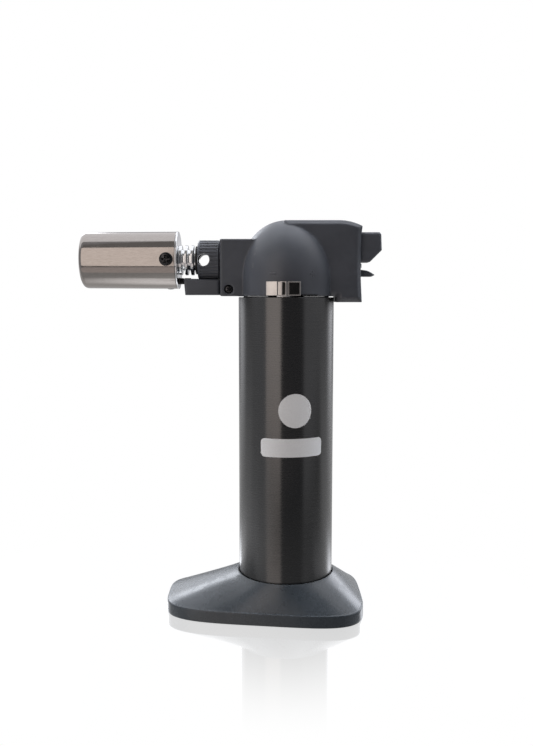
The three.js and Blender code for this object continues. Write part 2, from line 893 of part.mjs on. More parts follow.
function flameDisc() {
  const disc = bar('x', 5.4, -62.6, -61, [0, 0, burnerZ], 20);
  const ports = Array.from({ length: 6 }, (_, i) => {
    const angle = i * 60 * degrees;
    const [y, z] = [3.6 * Math.cos(angle), burnerZ + 3.6 * Math.sin(angle)];
    return bar('x', 0.8, -64, -60, [0, y, z], 6);
  });
  return cut(disc, bar('x', 1.7, -64, -60, [0, 0, burnerZ], 12), ...ports);
}

function sparkInsulator() {
  const [bore, radius] = [0.65, 1.15];
  const [front, rear] = [-60, cap.rear];
  return turnedRing('x', [
    [bore, front],
    [radius, front],
    [radius, rear],
    [bore, rear],
  ], [0, 0, burnerZ - sparkRadius], 14);
}

function sparkElectrode() {
  const z = burnerZ - sparkRadius;
  const path = route([[-56, 0, z], [-62, 0, z], [-67.6, 0, z], [-68.8, 0, z + 0.8], [-69.2, 0, z + 2.8]]);
  return swept(path, 0.35, 10, 5);
}

// ---- Assembly ----
const finishes = {
  blackPlastic: { color: 0x3e3e42, roughness: 0.5, metalness: 0 },
  standPlastic: { color: 0x2b2d30, roughness: 0.38, metalness: 0 },
  plainPlastic: { color: 0xd8d6cc, roughness: 0.5, metalness: 0 },
  blackAnodised: { color: 0x262626, roughness: 0.35, metalness: 0.9 },
  gunmetal: { color: 0x8a8078, roughness: 0.22, metalness: 1 },
  chrome: { color: 0xd8d8da, roughness: 0.08, metalness: 1 },
  steel: { color: 0xb4b6b8, roughness: 0.3, metalness: 1 },
  blackSteel: { color: 0x18181a, roughness: 0.35, metalness: 0.8 },
  brass: { color: 0xb9954a, roughness: 0.3, metalness: 1 },
  rubber: { color: 0x141414, roughness: 0.8, metalness: 0 },
  ceramic: { color: 0xe9e4d6, roughness: 0.45, metalness: 0 },
  fibre: { color: 0xe4dfd0, roughness: 0.95, metalness: 0 },
};

const torch = new THREE.Group();
torch.position.x = axisX;

function place(name, shape, finish) {
  const mesh = new THREE.Mesh(geometryOf(shape), new THREE.MeshStandardMaterial(finishes[finish]));
  mesh.name = name;
  torch.add(mesh);
}

place('stand_shell', standShell(), 'standPlastic');
place('stand_plate', standPlate(), 'blackPlastic');
standScrews.forEach(([x, y], i) => {
  place(`stand_screw_${i + 1}`, crossScrew(2.0, 0.8, 0.9, 3.4).translate([x, y, 2.0 - gap]), 'steel');
});

place('tank_sleeve', tankSleeve(), 'blackAnodised');
place('fuel_tank', fuelTank(), 'plainPlastic');
place('tank_lid', tankLid(), 'blackPlastic');
place('lid_seal', lidSeal(), 'rubber');
place('feed_tube', feedTube(), 'plainPlastic');
place('feed_wick', feedWick(), 'fibre');
place('refill_valve_body', refillValveBody(), 'brass');
place('refill_valve_stem', refillValveStem(), 'brass');
place('refill_valve_spring', refillValveSpring(), 'steel');
place('outlet_valve_body', outletValveBody(), 'brass');
place('outlet_valve_stem', outletValveStem(), 'brass');
place('outlet_valve_spring', outletValveSpring(), 'steel');
place('flow_ring', flowRing(), 'steel');
place('flow_slider', flowSlider(), 'chrome');

place('head_shell_near', headShellNear(), 'blackPlastic');
place('head_shell_far', headShellFar(), 'blackPlastic');
place('head_screw', headScrewNear(), 'blackSteel');
place('igniter_shroud', igniterShroud(), 'blackPlastic');
place('trigger_button', triggerButton(), 'blackPlastic');
place('valve_lever', valveLever(), 'steel');
place('lever_pin', leverPin(), 'steel');
place('lock_lever', lockLever(), 'blackPlastic');
place('piezo_body', piezoBody(), 'plainPlastic');
place('piezo_plunger', piezoPlunger(), 'plainPlastic');
place('piezo_spring', piezoSpring(), 'steel');
place('spark_wire', sparkWire(), 'rubber');
place('spark_boot', sparkBoot(), 'rubber');

place('gas_tube', gasTube(), 'rubber');
place('gas_jet', gasJet(), 'brass');
place('burner_neck', burnerNeck(), 'chrome');
place('collar_washer', collarWasher(), 'rubber');
place('air_collar', airCollar(), 'blackPlastic');
place('barrel_tube', barrelTube(), 'gunmetal');
place('barrel_cap', barrelCap(), 'chrome');
for (let i = 0; i < barrelScrews; i += 1) {
  place(`barrel_screw_${i + 1}`, barrelScrew(i), 'blackSteel');
}
place('flame_cup', flameCup(), 'steel');
place('flame_disc', flameDisc(), 'brass');
place('spark_insulator', sparkInsulator(), 'ceramic');
place('spark_electrode', sparkElectrode(), 'steel');

export default torch;
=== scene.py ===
import json
import math

import bmesh
import bpy
import numpy as np
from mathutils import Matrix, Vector

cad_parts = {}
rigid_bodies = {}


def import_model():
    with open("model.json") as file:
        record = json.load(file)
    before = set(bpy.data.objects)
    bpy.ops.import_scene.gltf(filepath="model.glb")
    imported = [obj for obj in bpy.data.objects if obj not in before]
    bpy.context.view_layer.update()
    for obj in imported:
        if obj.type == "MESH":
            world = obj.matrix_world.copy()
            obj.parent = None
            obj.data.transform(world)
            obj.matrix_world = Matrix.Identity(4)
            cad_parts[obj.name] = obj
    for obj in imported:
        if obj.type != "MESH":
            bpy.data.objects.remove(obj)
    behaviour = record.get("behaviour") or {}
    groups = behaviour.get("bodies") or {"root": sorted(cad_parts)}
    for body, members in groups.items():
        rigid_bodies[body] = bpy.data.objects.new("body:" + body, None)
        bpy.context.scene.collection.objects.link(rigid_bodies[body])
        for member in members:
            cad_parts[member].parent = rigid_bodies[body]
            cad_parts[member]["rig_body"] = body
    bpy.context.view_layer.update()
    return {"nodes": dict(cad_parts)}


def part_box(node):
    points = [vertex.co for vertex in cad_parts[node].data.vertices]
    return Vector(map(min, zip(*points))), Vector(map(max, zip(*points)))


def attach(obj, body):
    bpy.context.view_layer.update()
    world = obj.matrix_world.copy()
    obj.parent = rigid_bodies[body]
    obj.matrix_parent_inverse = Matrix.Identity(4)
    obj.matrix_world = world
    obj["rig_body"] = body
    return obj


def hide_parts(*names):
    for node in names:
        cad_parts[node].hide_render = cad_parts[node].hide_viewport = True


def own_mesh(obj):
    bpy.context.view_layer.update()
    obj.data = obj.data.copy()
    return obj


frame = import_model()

MM = 0.001


# ---- Places read from the frame ----
def axis_place():
    low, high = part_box("tank_sleeve")
    return Vector(((low.x + high.x) / 2, (low.y + high.y) / 2, 0))


AXIS = axis_place()


def extent(node):
    """A CAD node's lowest and highest corners, in millimetres from the tank's axis."""
    low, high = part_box(node)
    return (low - AXIS) / MM, (high - AXIS) / MM


TUBE_LOW, TUBE_HIGH = extent("tank_sleeve")
TUBE_RADIUS = TUBE_HIGH.x
BARREL_LOW, BARREL_HIGH = extent("barrel_tube")
BURNER_Z = (BARREL_LOW.z + BARREL_HIGH.z) / 2
BARREL_RADIUS = BARREL_HIGH.y
BURNER = (0, 0, BURNER_Z)
TANK = (0, 0, 0)


# ---- Profiles ----
def filleted(points, radius, steps=4, closed=True):
    """A polyline with its corners turned into arcs. A corner too tight for the radius gets a smaller one."""
    points = [np.array(p, float) for p in points]
    count = len(points)
    result = []
    for i, corner in enumerate(points):
        if not closed and i in (0, count - 1):
            result.append(tuple(corner))
            continue
        before = points[i - 1] - corner
        after = points[(i + 1) % count] - corner
        long_before, long_after = np.linalg.norm(before), np.linalg.norm(after)
        before, after = before / long_before, after / long_after
        half = math.acos(float(np.clip(before @ after, -1, 1))) / 2
        if half > math.radians(86):
            result.append(tuple(corner))
            continue
        reach = min(radius / math.tan(half), 0.45 * long_before, 0.45 * long_after)
        start, end = corner + before * reach, corner + after * reach
        for t in np.linspace(0, 1, steps + 1):
            result.append(tuple((1 - t) ** 2 * start + 2 * t * (1 - t) * corner + t**2 * end))
    return result


def catmull(points, steps):
    """A smooth open curve through the points."""
    points = [np.array(p, float) for p in points]
    ends = [2 * points[0] - points[1], *points, 2 * points[-1] - points[-2]]
    curve = []
    for p0, p1, p2, p3 in zip(ends, ends[1:], ends[2:], ends[3:]):
        for t in np.arange(steps) / steps:
            curve.append(0.5 * (2 * p1 + (p2 - p0) * t + (2 * p0 - 5 * p1 + 4 * p2 - p3) * t**2
                                + (3 * p1 - p0 - 3 * p2 + p3) * t**3))
    return [*curve, points[-1]]


# ---- Meshes ----
def new_object(name, data):
    """An object with that data, in the scene."""
    made = bpy.data.objects.new(name, data)
    bpy.context.scene.collection.objects.link(made)
    return made


def new_piece(name, points, faces, sharp=35):
    """A mesh object from points in millimetres about the tank's axis."""
    mesh = bpy.data.meshes.new(name)
    placed = np.asarray(points, float) * MM + np.array(AXIS)
    mesh.from_pydata(placed.tolist(), [], [tuple(map(int, face)) for face in faces])
    settle(mesh, sharp)
    return new_object(name, mesh)


def settle(mesh, sharp=35):
    """Merges doubled points, turns the faces out and shades smoothly up to the sharp angle."""
    work = bmesh.new()
    work.from_mesh(mesh)
    bmesh.ops.remove_doubles(work, verts=work.verts, dist=0.0005 * MM)
    bmesh.ops.recalc_face_normals(work, faces=work.faces)
    work.to_mesh(mesh)
    work.free()
    mesh.shade_smooth()
    mesh.set_sharp_from_angle(angle=math.radians(sharp))


def ring_loft(rings):
    """Points and faces of a skin over rings of equal count, closed from the last ring to the first."""
    count = len(rings[0])
    points = [p for ring in rings for p in ring]
    faces = []
    for k in range(len(rings)):
        low, high = k * count, (k + 1) % len(rings) * count
        for i in range(count):
            j = (i + 1) % count
            faces.append((low + i, low + j, high + j, high + i))
    return points, faces


def circle_ring(axis, radius, station, centre, sides, ripple=None):
    x0, y0, z0 = centre
    ring = []
    for i in range(sides):
        angle = 2 * math.pi * i / sides
        r = radius + (ripple(angle, station) if ripple else 0)
        a, b = r * math.cos(angle), r * math.sin(angle)
        x, y, z = {"x": (station, a, b), "y": (a, station, b), "z": (a, b, station)}[axis]
        ring.append((x0 + x, y0 + y, z0 + z))
    return ring


def lathe(name, axis, profile, centre, sides=96, sharp=35, ripple=None):
    """A turned piece. The profile is a closed loop of (radius, station along the axis)."""
    rings = [circle_ring(axis, r, s, centre, sides, ripple if r > 0 else None) for r, s in profile]
    return new_piece(name, *ring_loft(rings), sharp)


def swept_rings(path, radius, sides):
    """Circles square to a path, without twist from one to the next."""
    side = Vector((0, 1, 0))
    rings = []
    for i, here in enumerate(path):
        along = (path[min(i + 1, len(path) - 1)] - path[max(i - 1, 0)]).normalized()
        side = (side - along * side.dot(along)).normalized()
        other = along.cross(side)
        turn = [2 * math.pi * k / sides for k in range(sides)]
        rings.append([tuple(here + radius * (math.cos(a) * side + math.sin(a) * other)) for a in turn])
    return rings


def rod(name, points, radius, sides=16):
    """A round wire along a path, closed flat at both ends."""
    path = [Vector(p) for p in points]
    first, last = [tuple(path[0])] * sides, [tuple(path[-1])] * sides
    return new_piece(name, *ring_loft([first, *swept_rings(path, radius, sides), last]))


def hose(name, points, radius, bore, sides=24):
    """A tube along a path, open at both ends."""
    path = [Vector(p) for p in points]
    outside, inside = (swept_rings(path, r, sides) for r in (radius, bore))
    return new_piece(name, *ring_loft([*outside, *reversed(inside)]))


def apply_modifiers(piece, sharp=35):
    shown = piece.evaluated_get(bpy.context.evaluated_depsgraph_get())
    mesh = bpy.data.meshes.new_from_object(shown)
    piece.modifiers.clear()
    piece.data = mesh
    settle(mesh, sharp)


def cut(piece, *tools, sharp=35):
    """Takes the tools away from the piece."""
    for tool in tools:
        step = piece.modifiers.new("cut", "BOOLEAN")
        step.operation = "DIFFERENCE"
        step.solver = "EXACT"
        step.object = tool
    apply_modifiers(piece, sharp)
    for tool in tools:
        bpy.data.objects.remove(tool)


def ring_profile(inner, outer, start, end):
    """The section of a plain ring, or of a disc where the inner radius is 0."""
    return [(inner, start), (outer, start), (outer, end), (inner, end)]


def drill(axis, radius, start, end, centre, sides=48):
    """A round cutting tool along an axis."""
    return lathe("drill", axis, ring_profile(0, radius, start, end), centre, sides)


# ---- Solids from distance fields, for moulded shapes with soft edges ----
def soft_min(a, b, blend):
    share = np.clip(0.5 + 0.5 * (b - a) / blend, 0, 1)
    return b + (a - b) * share - blend * share * (1 - share)


def soft_max(a, b, blend):
    return -soft_min(-a, -b, blend)


def box_field(x, y, z, low, high, rounding=0.0):
    sides = [np.abs(v - (a + b) / 2) - (b - a) / 2 + rounding for v, a, b in zip((x, y, z), low, high)]
    outside = np.sqrt(sum(np.maximum(s, 0) ** 2 for s in sides))
    return outside + np.minimum(np.maximum.reduce(sides), 0) - rounding


def outline_field(a, b, outline):
    """Distance from points (a, b) to a closed outline, negative inside."""
    nearest = np.full(a.shape, np.inf)
    inside = np.zeros(a.shape, bool)
    for (a0, b0), (a1, b1) in zip(outline, [*outline[1:], outline[0]]):
        da, db = a1 - a0, b1 - b0
        t = np.clip(((a - a0) * da + (b - b0) * db) / (da * da + db * db), 0, 1)
        nearest = np.minimum(nearest, np.hypot(a - a0 - t * da, b - b0 - t * db))
        if db != 0:
            inside ^= ((b0 > b) != (b1 > b)) & (a < a0 + (b - b0) / db * da)
    return np.where(inside, -nearest, nearest)


def slab_field(a, b, across, outline, half_width, chamfer, blend=0.35):
    """An outline with a thickness, with its outer edges chamfered."""
    flat = outline_field(a, b, outline)
    side = np.abs(across) - half_width
    return soft_max(soft_max(flat, side, blend), (flat + side + chamfer) / math.sqrt(2), blend)


def crossings(value, grid, axis):
    """Where the field changes sign along the grid's edges in one direction."""
    first = [slice(None)] * 3
    second = [slice(None)] * 3
    first[axis], second[axis] = slice(None, -1), slice(1, None)
    a, b = value[tuple(first)], value[tuple(second)]
    crossed = (a < 0) != (b < 0)
    share = np.where(crossed, a / np.where(crossed, a - b, 1), 0)[..., None]
    start, end = grid[tuple(first)], grid[tuple(second)]
    return crossed, start + share * (end - start), a < 0


def surface_net(field, low, high, cell):
    """Points and quads of the surface where the field is zero."""
    lines = [np.arange(a - 1.5 * cell, b + 2.5 * cell, cell) for a, b in zip(low, high)]
    grid = np.stack(np.meshgrid(*lines, indexing="ij"), axis=-1)
    value = field(*np.moveaxis(grid, -1, 0))
    cells = tuple(n - 1 for n in value.shape)
    total, count = np.zeros((*cells, 3)), np.zeros(cells, int)
    found = []
    for axis in range(3):
        crossed, place, inside = crossings(value, grid, axis)
        found.append((crossed, inside))
        u, v = (axis + 1) % 3, (axis + 2) % 3
        for du in (0, 1):
            for dv in (0, 1):
                part = [slice(None)] * 3
                part[u] = slice(du, du + cells[u])
                part[v] = slice(dv, dv + cells[v])
                part = tuple(part)
                total += place[part] * crossed[part][..., None]
                count += crossed[part]
    index = np.full(cells, -1)
    index[count > 0] = np.arange((count > 0).sum())
    points = total[count > 0] / count[count > 0][:, None]
    quads = [net_quads(index, cells, axis, *found[axis]) for axis in range(3)]
    return settle_on(field, points, cell), np.concatenate(quads)


def net_quads(index, cells, axis, crossed, inside):
    u, v = (axis + 1) % 3, (axis + 2) % 3
    edges = np.argwhere(crossed)
    within = (edges[:, u] > 0) & (edges[:, u] < cells[u]) & (edges[:, v] > 0) & (edges[:, v] < cells[v])
    edges = edges[within]
    corners = []
    for du, dv in ((1, 1), (0, 1), (0, 0), (1, 0)):
        cell = edges.copy()
        cell[:, u] -= du
        cell[:, v] -= dv
        corners.append(index[tuple(cell.T)])
    quads = np.stack(corners, axis=1)
    outward = inside[tuple(edges.T)]
    return np.where(outward[:, None], quads, quads[:, ::-1])


def settle_on(field, points, cell, rounds=4):
    """Moves points onto the field's surface."""
    step = cell / 20
    for _ in range(rounds):
        slope = np.stack([
            field(*(points + shift).T) - field(*(points - shift).T) for shift in np.eye(3) * step
        ], axis=1) / (2 * step)
        square = np.maximum((slope**2).sum(1), 0.2)
        move = slope * (field(*points.T) / square)[:, None]
        length = np.linalg.norm(move, axis=1)[:, None]
        points = points - move * np.minimum(1, 0.4 * cell / np.maximum(length, 1e-9))
    return points


def moulded(name, field, low, high, cell, sharp=50):
    return new_piece(name, *surface_net(field, low, high, cell), sharp)


# ---- Materials ----
def new_material(name, **settings):
    """A material, its shader and its tree. Fixed values are set on the shader's own sockets."""
    material = bpy.data.materials.new("look_" + name)
    material.use_nodes = True
    tree = material.node_tree
    shader = tree.nodes["Principled BSDF"]
    for socket, value in settings.items():
        shader.inputs[socket.replace("_", " ")].default_value = value
    return material, tree, shader


def add(tree, kind, inputs=None, **settings):
    """Adds a node. An input is a value or another node's socket."""
    made = tree.nodes.new("ShaderNode" + kind)
    for name, value in settings.items():
        setattr(made, name, value)
    for socket, value in (inputs or {}).items():
        if isinstance(value, bpy.types.NodeSocket):
            tree.links.new(value, made.inputs[socket])
        else:
            made.inputs[socket].default_value = value
    return made


def millimetres(tree, stretch=(1, 1, 1)):
    """The point on the object in millimetres, with each axis stretched."""
    place = add(tree, "TexCoord").outputs["Object"]
    scale = tuple(s / MM for s in stretch)
    return add(tree, "Mapping", {"Vector": place, "Scale": scale}).outputs["Vector"]


def noise(tree, point, scale, detail=3.0, roughness=0.5):
    made = add(tree, "TexNoise", {"Vector": point, "Scale": scale, "Detail": detail, "Roughness": roughness})
    return made.outputs["Fac"]


def ramp(tree, value, low, high, to_low=0.0, to_high=1.0):
    made = add(tree, "MapRange", {
        "Value": value, "From Min": low, "From Max": high, "To Min": to_low, "To Max": to_high,
    }, interpolation_type="SMOOTHSTEP")
    return made.outputs["Result"]


def blend_colours(tree, share, first, second):
    made = add(tree, "Mix", {"Factor": share}, data_type="RGBA")
    for socket, colour in ((made.inputs[6], first), (made.inputs[7], second)):
        if isinstance(colour, bpy.types.NodeSocket):
            tree.links.new(colour, socket)
        else:
            socket.default_value = (*colour, 1)
    return made.outputs[2]


def calculate(tree, operation, first, second=0.0):
    made = add(tree, "Math", {0: first, 1: second}, operation=operation)
    return made.outputs["Value"]


def times(tree, first, second):
    return calculate(tree, "MULTIPLY", first, second)


def edge_share(tree, start=0.52, end=0.6):
    """How far a point is on an outer edge, where handling has worn the surface."""
    return ramp(tree, add(tree, "NewGeometry").outputs["Pointiness"], start, end)


def bumped(tree, shader, height, distance, strength=0.5):
    made = add(tree, "Bump", {"Height": height, "Strength": strength, "Distance": distance * MM})
    tree.links.new(made.outputs["Normal"], shader.inputs["Normal"])


def feed(tree, shader, **sources):
    for socket, source in sources.items():
        tree.links.new(source, shader.inputs[socket.replace("_", " ")])


def moulded_plastic(name, dark, light, worn, smoothness, grain, grain_depth, cloud=0.09, ior=1.5):
    """Satin moulded plastic: cloudy colour, paler worn edges and a fine spark-eroded grain."""
    material, tree, shader = new_material(name, IOR=ior)
    point = millimetres(tree)
    clouds = ramp(tree, noise(tree, point, cloud, 4), 0.35, 0.65)
    smudges = noise(tree, point, cloud * 4, 5, 0.65)
    body = blend_colours(tree, clouds, dark, light)
    colour = blend_colours(tree, times(tree, edge_share(tree), 0.3), body, worn)
    feed(tree, shader, Base_Color=colour, Roughness=ramp(tree, smudges, 0.3, 0.7, *smoothness))
    bumped(tree, shader, noise(tree, point, grain, 2, 0.6), grain_depth)
    return material


def round_the_tank(tree, across, along):
    """Coordinates that run round the tank and up it, for marks left by turning or brushing."""
    place = add(tree, "SeparateXYZ", {0: millimetres(tree)})
    x = calculate(tree, "SUBTRACT", place.outputs["X"], AXIS.x / MM)
    angle = calculate(tree, "ARCTAN2", place.outputs["Y"], x)
    round_it = times(tree, angle, across)
    up = times(tree, place.outputs["Z"], along)
    return add(tree, "CombineXYZ", {"X": round_it, "Y": up}).outputs["Vector"]


def anodised():
    """Black anodised aluminium, brushed round the tube."""
    material, tree, shader = new_material("black_anodised", Metallic=1.0, Anisotropic=0.9,
                                          Anisotropic_Rotation=0.25)
    lines = noise(tree, round_the_tank(tree, 1.4, 5.0), 1.0, 5, 0.75)
    fine = noise(tree, round_the_tank(tree, 4.0, 16.0), 1.0, 2, 0.6)
    clouds = noise(tree, millimetres(tree), 0.06, 3)
    brushing = calculate(tree, "ADD", times(tree, lines, 0.7), times(tree, fine, 0.3))
    body = blend_colours(tree, ramp(tree, brushing, 0.3, 0.7), (0.112, 0.112, 0.114), (0.142, 0.141, 0.142))
    colour = blend_colours(tree, ramp(tree, clouds, 0.4, 0.8, 0, 0.25), body, (0.108, 0.111, 0.116))
    tangent = add(tree, "Tangent", direction_type="RADIAL", axis="Z").outputs["Tangent"]
    feed(tree, shader, Base_Color=colour, Tangent=tangent,
         Roughness=ramp(tree, brushing, 0.25, 0.75, 0.23, 0.31))
    bumped(tree, shader, brushing, 0.006, 0.3)
    return material


def plated(name, dark, light, smoothness, stretch=(1, 1, 1)):
    """Polished plating with faint polishing lines and handling smudges."""
    material, tree, shader = new_material(name, Metallic=1.0)
    lines = noise(tree, millimetres(tree, stretch), 1.0, 4, 0.7)
    smudges = noise(tree, millimetres(tree), 0.18, 5, 0.65)
    colour = blend_colours(tree, ramp(tree, lines, 0.3, 0.7), dark, light)
    rough = ramp(tree, smudges, 0.35, 0.7, *smoothness)
    feed(tree, shader, Base_Color=colour, Roughness=rough)
    bumped(tree, shader, lines, 0.004, 0.25)
    return material


def bare_metal(name, dark, light, smoothness, scale=0.8):
    """Unpolished metal, with dull patches and fine scratches."""
    material, tree, shader = new_material(name, Metallic=1.0)
    patches = noise(tree, millimetres(tree), scale, 5, 0.6)
    scratches = noise(tree, millimetres(tree, (1, 6, 6)), 1.2, 3, 0.7)
    colour = blend_colours(tree, ramp(tree, patches, 0.35, 0.65), dark, light)
    feed(tree, shader, Base_Color=colour, Roughness=ramp(tree, scratches, 0.3, 0.7, *smoothness))
    bumped(tree, shader, scratches, 0.01, 0.3)
    return material


def dull(name, dark, light, rough, scale, depth, **settings):
    """Rubber, ceramic, wick or natural plastic: a dull body with its own grain."""
    material, tree, shader = new_material(name, **settings)
    patches = noise(tree, millimetres(tree), scale, 4, 0.6)
    grain = noise(tree, millimetres(tree), scale * 8, 3, 0.6)
    feed(tree, shader, Base_Color=blend_colours(tree, ramp(tree, patches, 0.3, 0.7), dark, light),
         Roughness=ramp(tree, grain, 0.3, 0.7, rough - 0.07, rough + 0.05))
    bumped(tree, shader, grain, depth)
    return material


def printed_mark():
    """Silver-white pad print, a little thin in places."""
    material, tree, shader = new_material("silver_print", Metallic=0.0, IOR=1.45)
    body = ramp(tree, noise(tree, millimetres(tree), 1.6, 5, 0.7), 0.3, 0.7)
    flecks = ramp(tree, noise(tree, millimetres(tree), 5.0, 2), 0.68, 0.8)
    colour = blend_colours(tree, body, (0.88, 0.90, 0.92), (0.94, 0.96, 0.98))
    feed(tree, shader, Base_Color=blend_colours(tree, flecks, colour, (0.60, 0.61, 0.62)),
         Roughness=ramp(tree, body, 0, 1, 0.38, 0.5))
    bumped(tree, shader, body, 0.01, 0.3)
    return material


LOOKS = {
    "black_plastic": moulded_plastic(
        "black_plastic", (0.069, 0.077, 0.093), (0.083, 0.092, 0.111), (0.15, 0.15, 0.16),
        smoothness=(0.36, 0.46), grain=2.6, grain_depth=0.014),
    "stand_plastic": moulded_plastic(
        "stand_plastic", (0.031, 0.041, 0.051), (0.040, 0.051, 0.063), (0.08, 0.08, 0.084),
        smoothness=(0.24, 0.34), grain=3.2, grain_depth=0.005, cloud=0.05, ior=1.6),
    "natural_plastic": dull(
        "natural_plastic", (0.70, 0.69, 0.64), (0.78, 0.77, 0.73), 0.42, 0.2, 0.02, IOR=1.5),
    "black_anodised": anodised(),
    "gunmetal_chrome": plated(
        "gunmetal_chrome", (0.375, 0.345, 0.325), (0.425, 0.395, 0.375), (0.07, 0.14), (0.5, 3, 3)),
    "bright_chrome": plated("bright_chrome", (0.80, 0.81, 0.83), (0.88, 0.89, 0.90), (0.03, 0.09), (6, 1, 1)),
    "satin_chrome": plated("satin_chrome", (0.59, 0.57, 0.555), (0.65, 0.63, 0.61), (0.30, 0.40), (1, 1, 4)),
    # Near-black for the sheets laid in the slider's slot and window: painted dark reflection, standing for
    # the dark front of the studio mirrored in those recesses.
    "painted_dark_reflection": dull(
        "painted_dark_reflection", (0.008, 0.008, 0.008), (0.015, 0.014, 0.014), 0.2, 0.8, 0.004, IOR=1.5),
    "plain_steel": bare_metal("plain_steel", (0.50, 0.51, 0.52), (0.66, 0.66, 0.67), (0.24, 0.38)),
    "black_steel": bare_metal("black_steel", (0.022, 0.022, 0.024), (0.075, 0.075, 0.08), (0.16, 0.28), 1.6),
    "turned_brass": bare_metal("turned_brass", (0.60, 0.44, 0.18), (0.80, 0.62, 0.30), (0.22, 0.36)),
    "black_rubber": dull("black_rubber", (0.016, 0.016, 0.017), (0.026, 0.026, 0.027), 0.7, 0.5, 0.02),
    "white_ceramic": dull("white_ceramic", (0.78, 0.75, 0.68), (0.86, 0.83, 0.76), 0.5, 0.6, 0.015),
    "cotton_fibre": dull("cotton_fibre", (0.70, 0.66, 0.55), (0.86, 0.82, 0.72), 0.9, 1.2, 0.08),
    "silver_print": printed_mark(),
}


def wear(piece, look):
    piece.data.materials.clear()
    piece.data.materials.append(LOOKS[look])


def stand_in(piece, node, look):
    """The piece takes a CAD node's place on that node's body."""
    wear(piece, look)
    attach(piece, frame["nodes"][node]["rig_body"])
    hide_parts(node)


def belongs(piece, body, look):
    """A surface detail that has no CAD node of its own."""
    wear(piece, look)
    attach(piece, body)


# ---- Stand ----
STAND = {"taper": 0.212, "squareness": 4.1, "half_depth": 23.18, "rim": 4.9, "edge": 0.5, "wall": 2.0}
STAND_LOW, STAND_HIGH = extent("stand_shell")
STAND_TOP_RADIUS = 19.3
STAND_BORE = TUBE_RADIUS + 0.3
STAND_SIDES = 256


def stand_reach(inset):
    """How far the stand's outline is from the tank's axis, in each direction."""
    angles = 2 * np.pi * np.arange(STAND_SIDES) / STAND_SIDES
    half_length = (STAND_HIGH.x - STAND_LOW.x) / 2 - inset
    centre = (STAND_HIGH.x + STAND_LOW.x) / 2
    low, high = np.zeros(STAND_SIDES), np.full(STAND_SIDES, 3 * half_length)
    for _ in range(40):
        reach = (low + high) / 2
        x = (reach * np.cos(angles) - centre) / half_length
        y = reach * np.sin(angles) / ((STAND["half_depth"] - inset) * (1 + STAND["taper"] * x))
        inside = np.abs(x) ** STAND["squareness"] + np.abs(y) ** STAND["squareness"] < 1
        low, high = np.where(inside, reach, low), np.where(inside, high, reach)
    return low


def stand_ring(z, reach):
    angles = 2 * np.pi * np.arange(STAND_SIDES) / STAND_SIDES
    reach = np.broadcast_to(reach, (STAND_SIDES,))
    return [(r * math.cos(a), r * math.sin(a), z) for r, a in zip(reach, angles)]


def rounded_edge(z, inset, edge, start, end, steps=4):
    """Rings round an edge, from one angle to another, about a centre that far inside the outline."""
    turns = np.radians(np.linspace(start, end, steps + 1))
    return [stand_ring(z + edge * math.sin(t), stand_reach(inset + edge * (1 - math.cos(t)))) for t in turns]


def build_stand():
    edge, rim, wall = STAND["edge"], STAND["rim"], STAND["wall"]
    top = STAND_HIGH.z
    hip = []
    outer = stand_reach(edge)
    for t in (0.03, *np.linspace(0.1, 1, 10)):
        hip.append(stand_ring(rim + t * (top - 0.25 - rim), outer + t * (STAND_TOP_RADIUS - outer)))
    inner = stand_reach(wall)
    roof = [stand_ring(z, inner + t * (STAND_TOP_RADIUS - inner))
            for z, t in ((top - 2.6, 0.98), (rim - 1.5, 0))]
    rings = [
        *rounded_edge(edge, 0, edge, -90, 0),
        stand_ring(2 * edge, stand_reach(0)),
        stand_ring(rim - 2 * edge, stand_reach(0)),
        *rounded_edge(rim - edge, 0, edge, 0, 90),
        *hip,
        stand_ring(top, STAND_TOP_RADIUS - 0.2),
        stand_ring(top, STAND_BORE + 0.1),
        stand_ring(top - 0.1, STAND_BORE),
        stand_ring(top - 2.4, STAND_BORE),
        *roof,
        stand_ring(0.1, inner),
        stand_ring(0, inner + 0.1),
    ]
    stand_in(new_piece("stand_moulding", *ring_loft(rings), 30), "stand_shell", "stand_plastic")


# ---- Tank sleeve and its print ----
def build_sleeve():
    wall, edge, bottom, top = 0.8, 0.15, TUBE_LOW.z, TUBE_HIGH.z
    profile = filleted([
        (TUBE_RADIUS - wall, bottom), (TUBE_RADIUS, bottom), (TUBE_RADIUS, top - edge),
        (TUBE_RADIUS - edge, top), (TUBE_RADIUS - wall, top),
    ], 0.05, 3)
    stand_in(lathe("brushed_sleeve", "z", profile, TANK, 256), "tank_sleeve", "black_anodised")


PRINT_RISE = 0.02
DISC = {"across": 3.1, "z": 81.0, "radius": 6.4}
BAR = {"across": 2.1, "z": 67.0, "half_length": 12.4, "half_height": 3.5, "corner": 1.6}


def printed(name, shape, half_length, half_height_at, columns=64):
    """A thin patch on the tube, built in upright columns from its half height at each place across."""
    points, faces = [], []
    for i in range(columns + 1):
        u = -half_length * math.cos(math.pi * i / columns)
        angle = (shape["across"] + u) / TUBE_RADIUS
        half = max(half_height_at(u), 0.05)
        for radius, up in ((PRINT_RISE, -half), (PRINT_RISE, half), (-0.05, half), (-0.05, -half)):
            reach = TUBE_RADIUS + radius
            points.append((reach * math.sin(angle), -reach * math.cos(angle), shape["z"] + up))
    for i in range(columns):
        for k in range(4):
            a, b = 4 * i + k, 4 * i + (k + 1) % 4
            faces.append((a, b, b + 4, a + 4))
    last = 4 * columns
    faces += [(0, 1, 2, 3), (last, last + 1, last + 2, last + 3)]
    belongs(new_piece(name, points, faces, 40), "torch_body", "silver_print")


def disc_height(u):
    return math.sqrt(max(DISC["radius"] ** 2 - u**2, 0))


def bar_height(u):
    """Half the height of a rounded rectangle."""
    past = max(abs(u) - BAR["half_length"] + BAR["corner"], 0)
    return BAR["half_height"] - BAR["corner"] + math.sqrt(max(BAR["corner"] ** 2 - past**2, 0))


def build_print():
    printed("print_disc", DISC, DISC["radius"], disc_height)
    printed("print_bar", BAR, BAR["half_length"], bar_height)


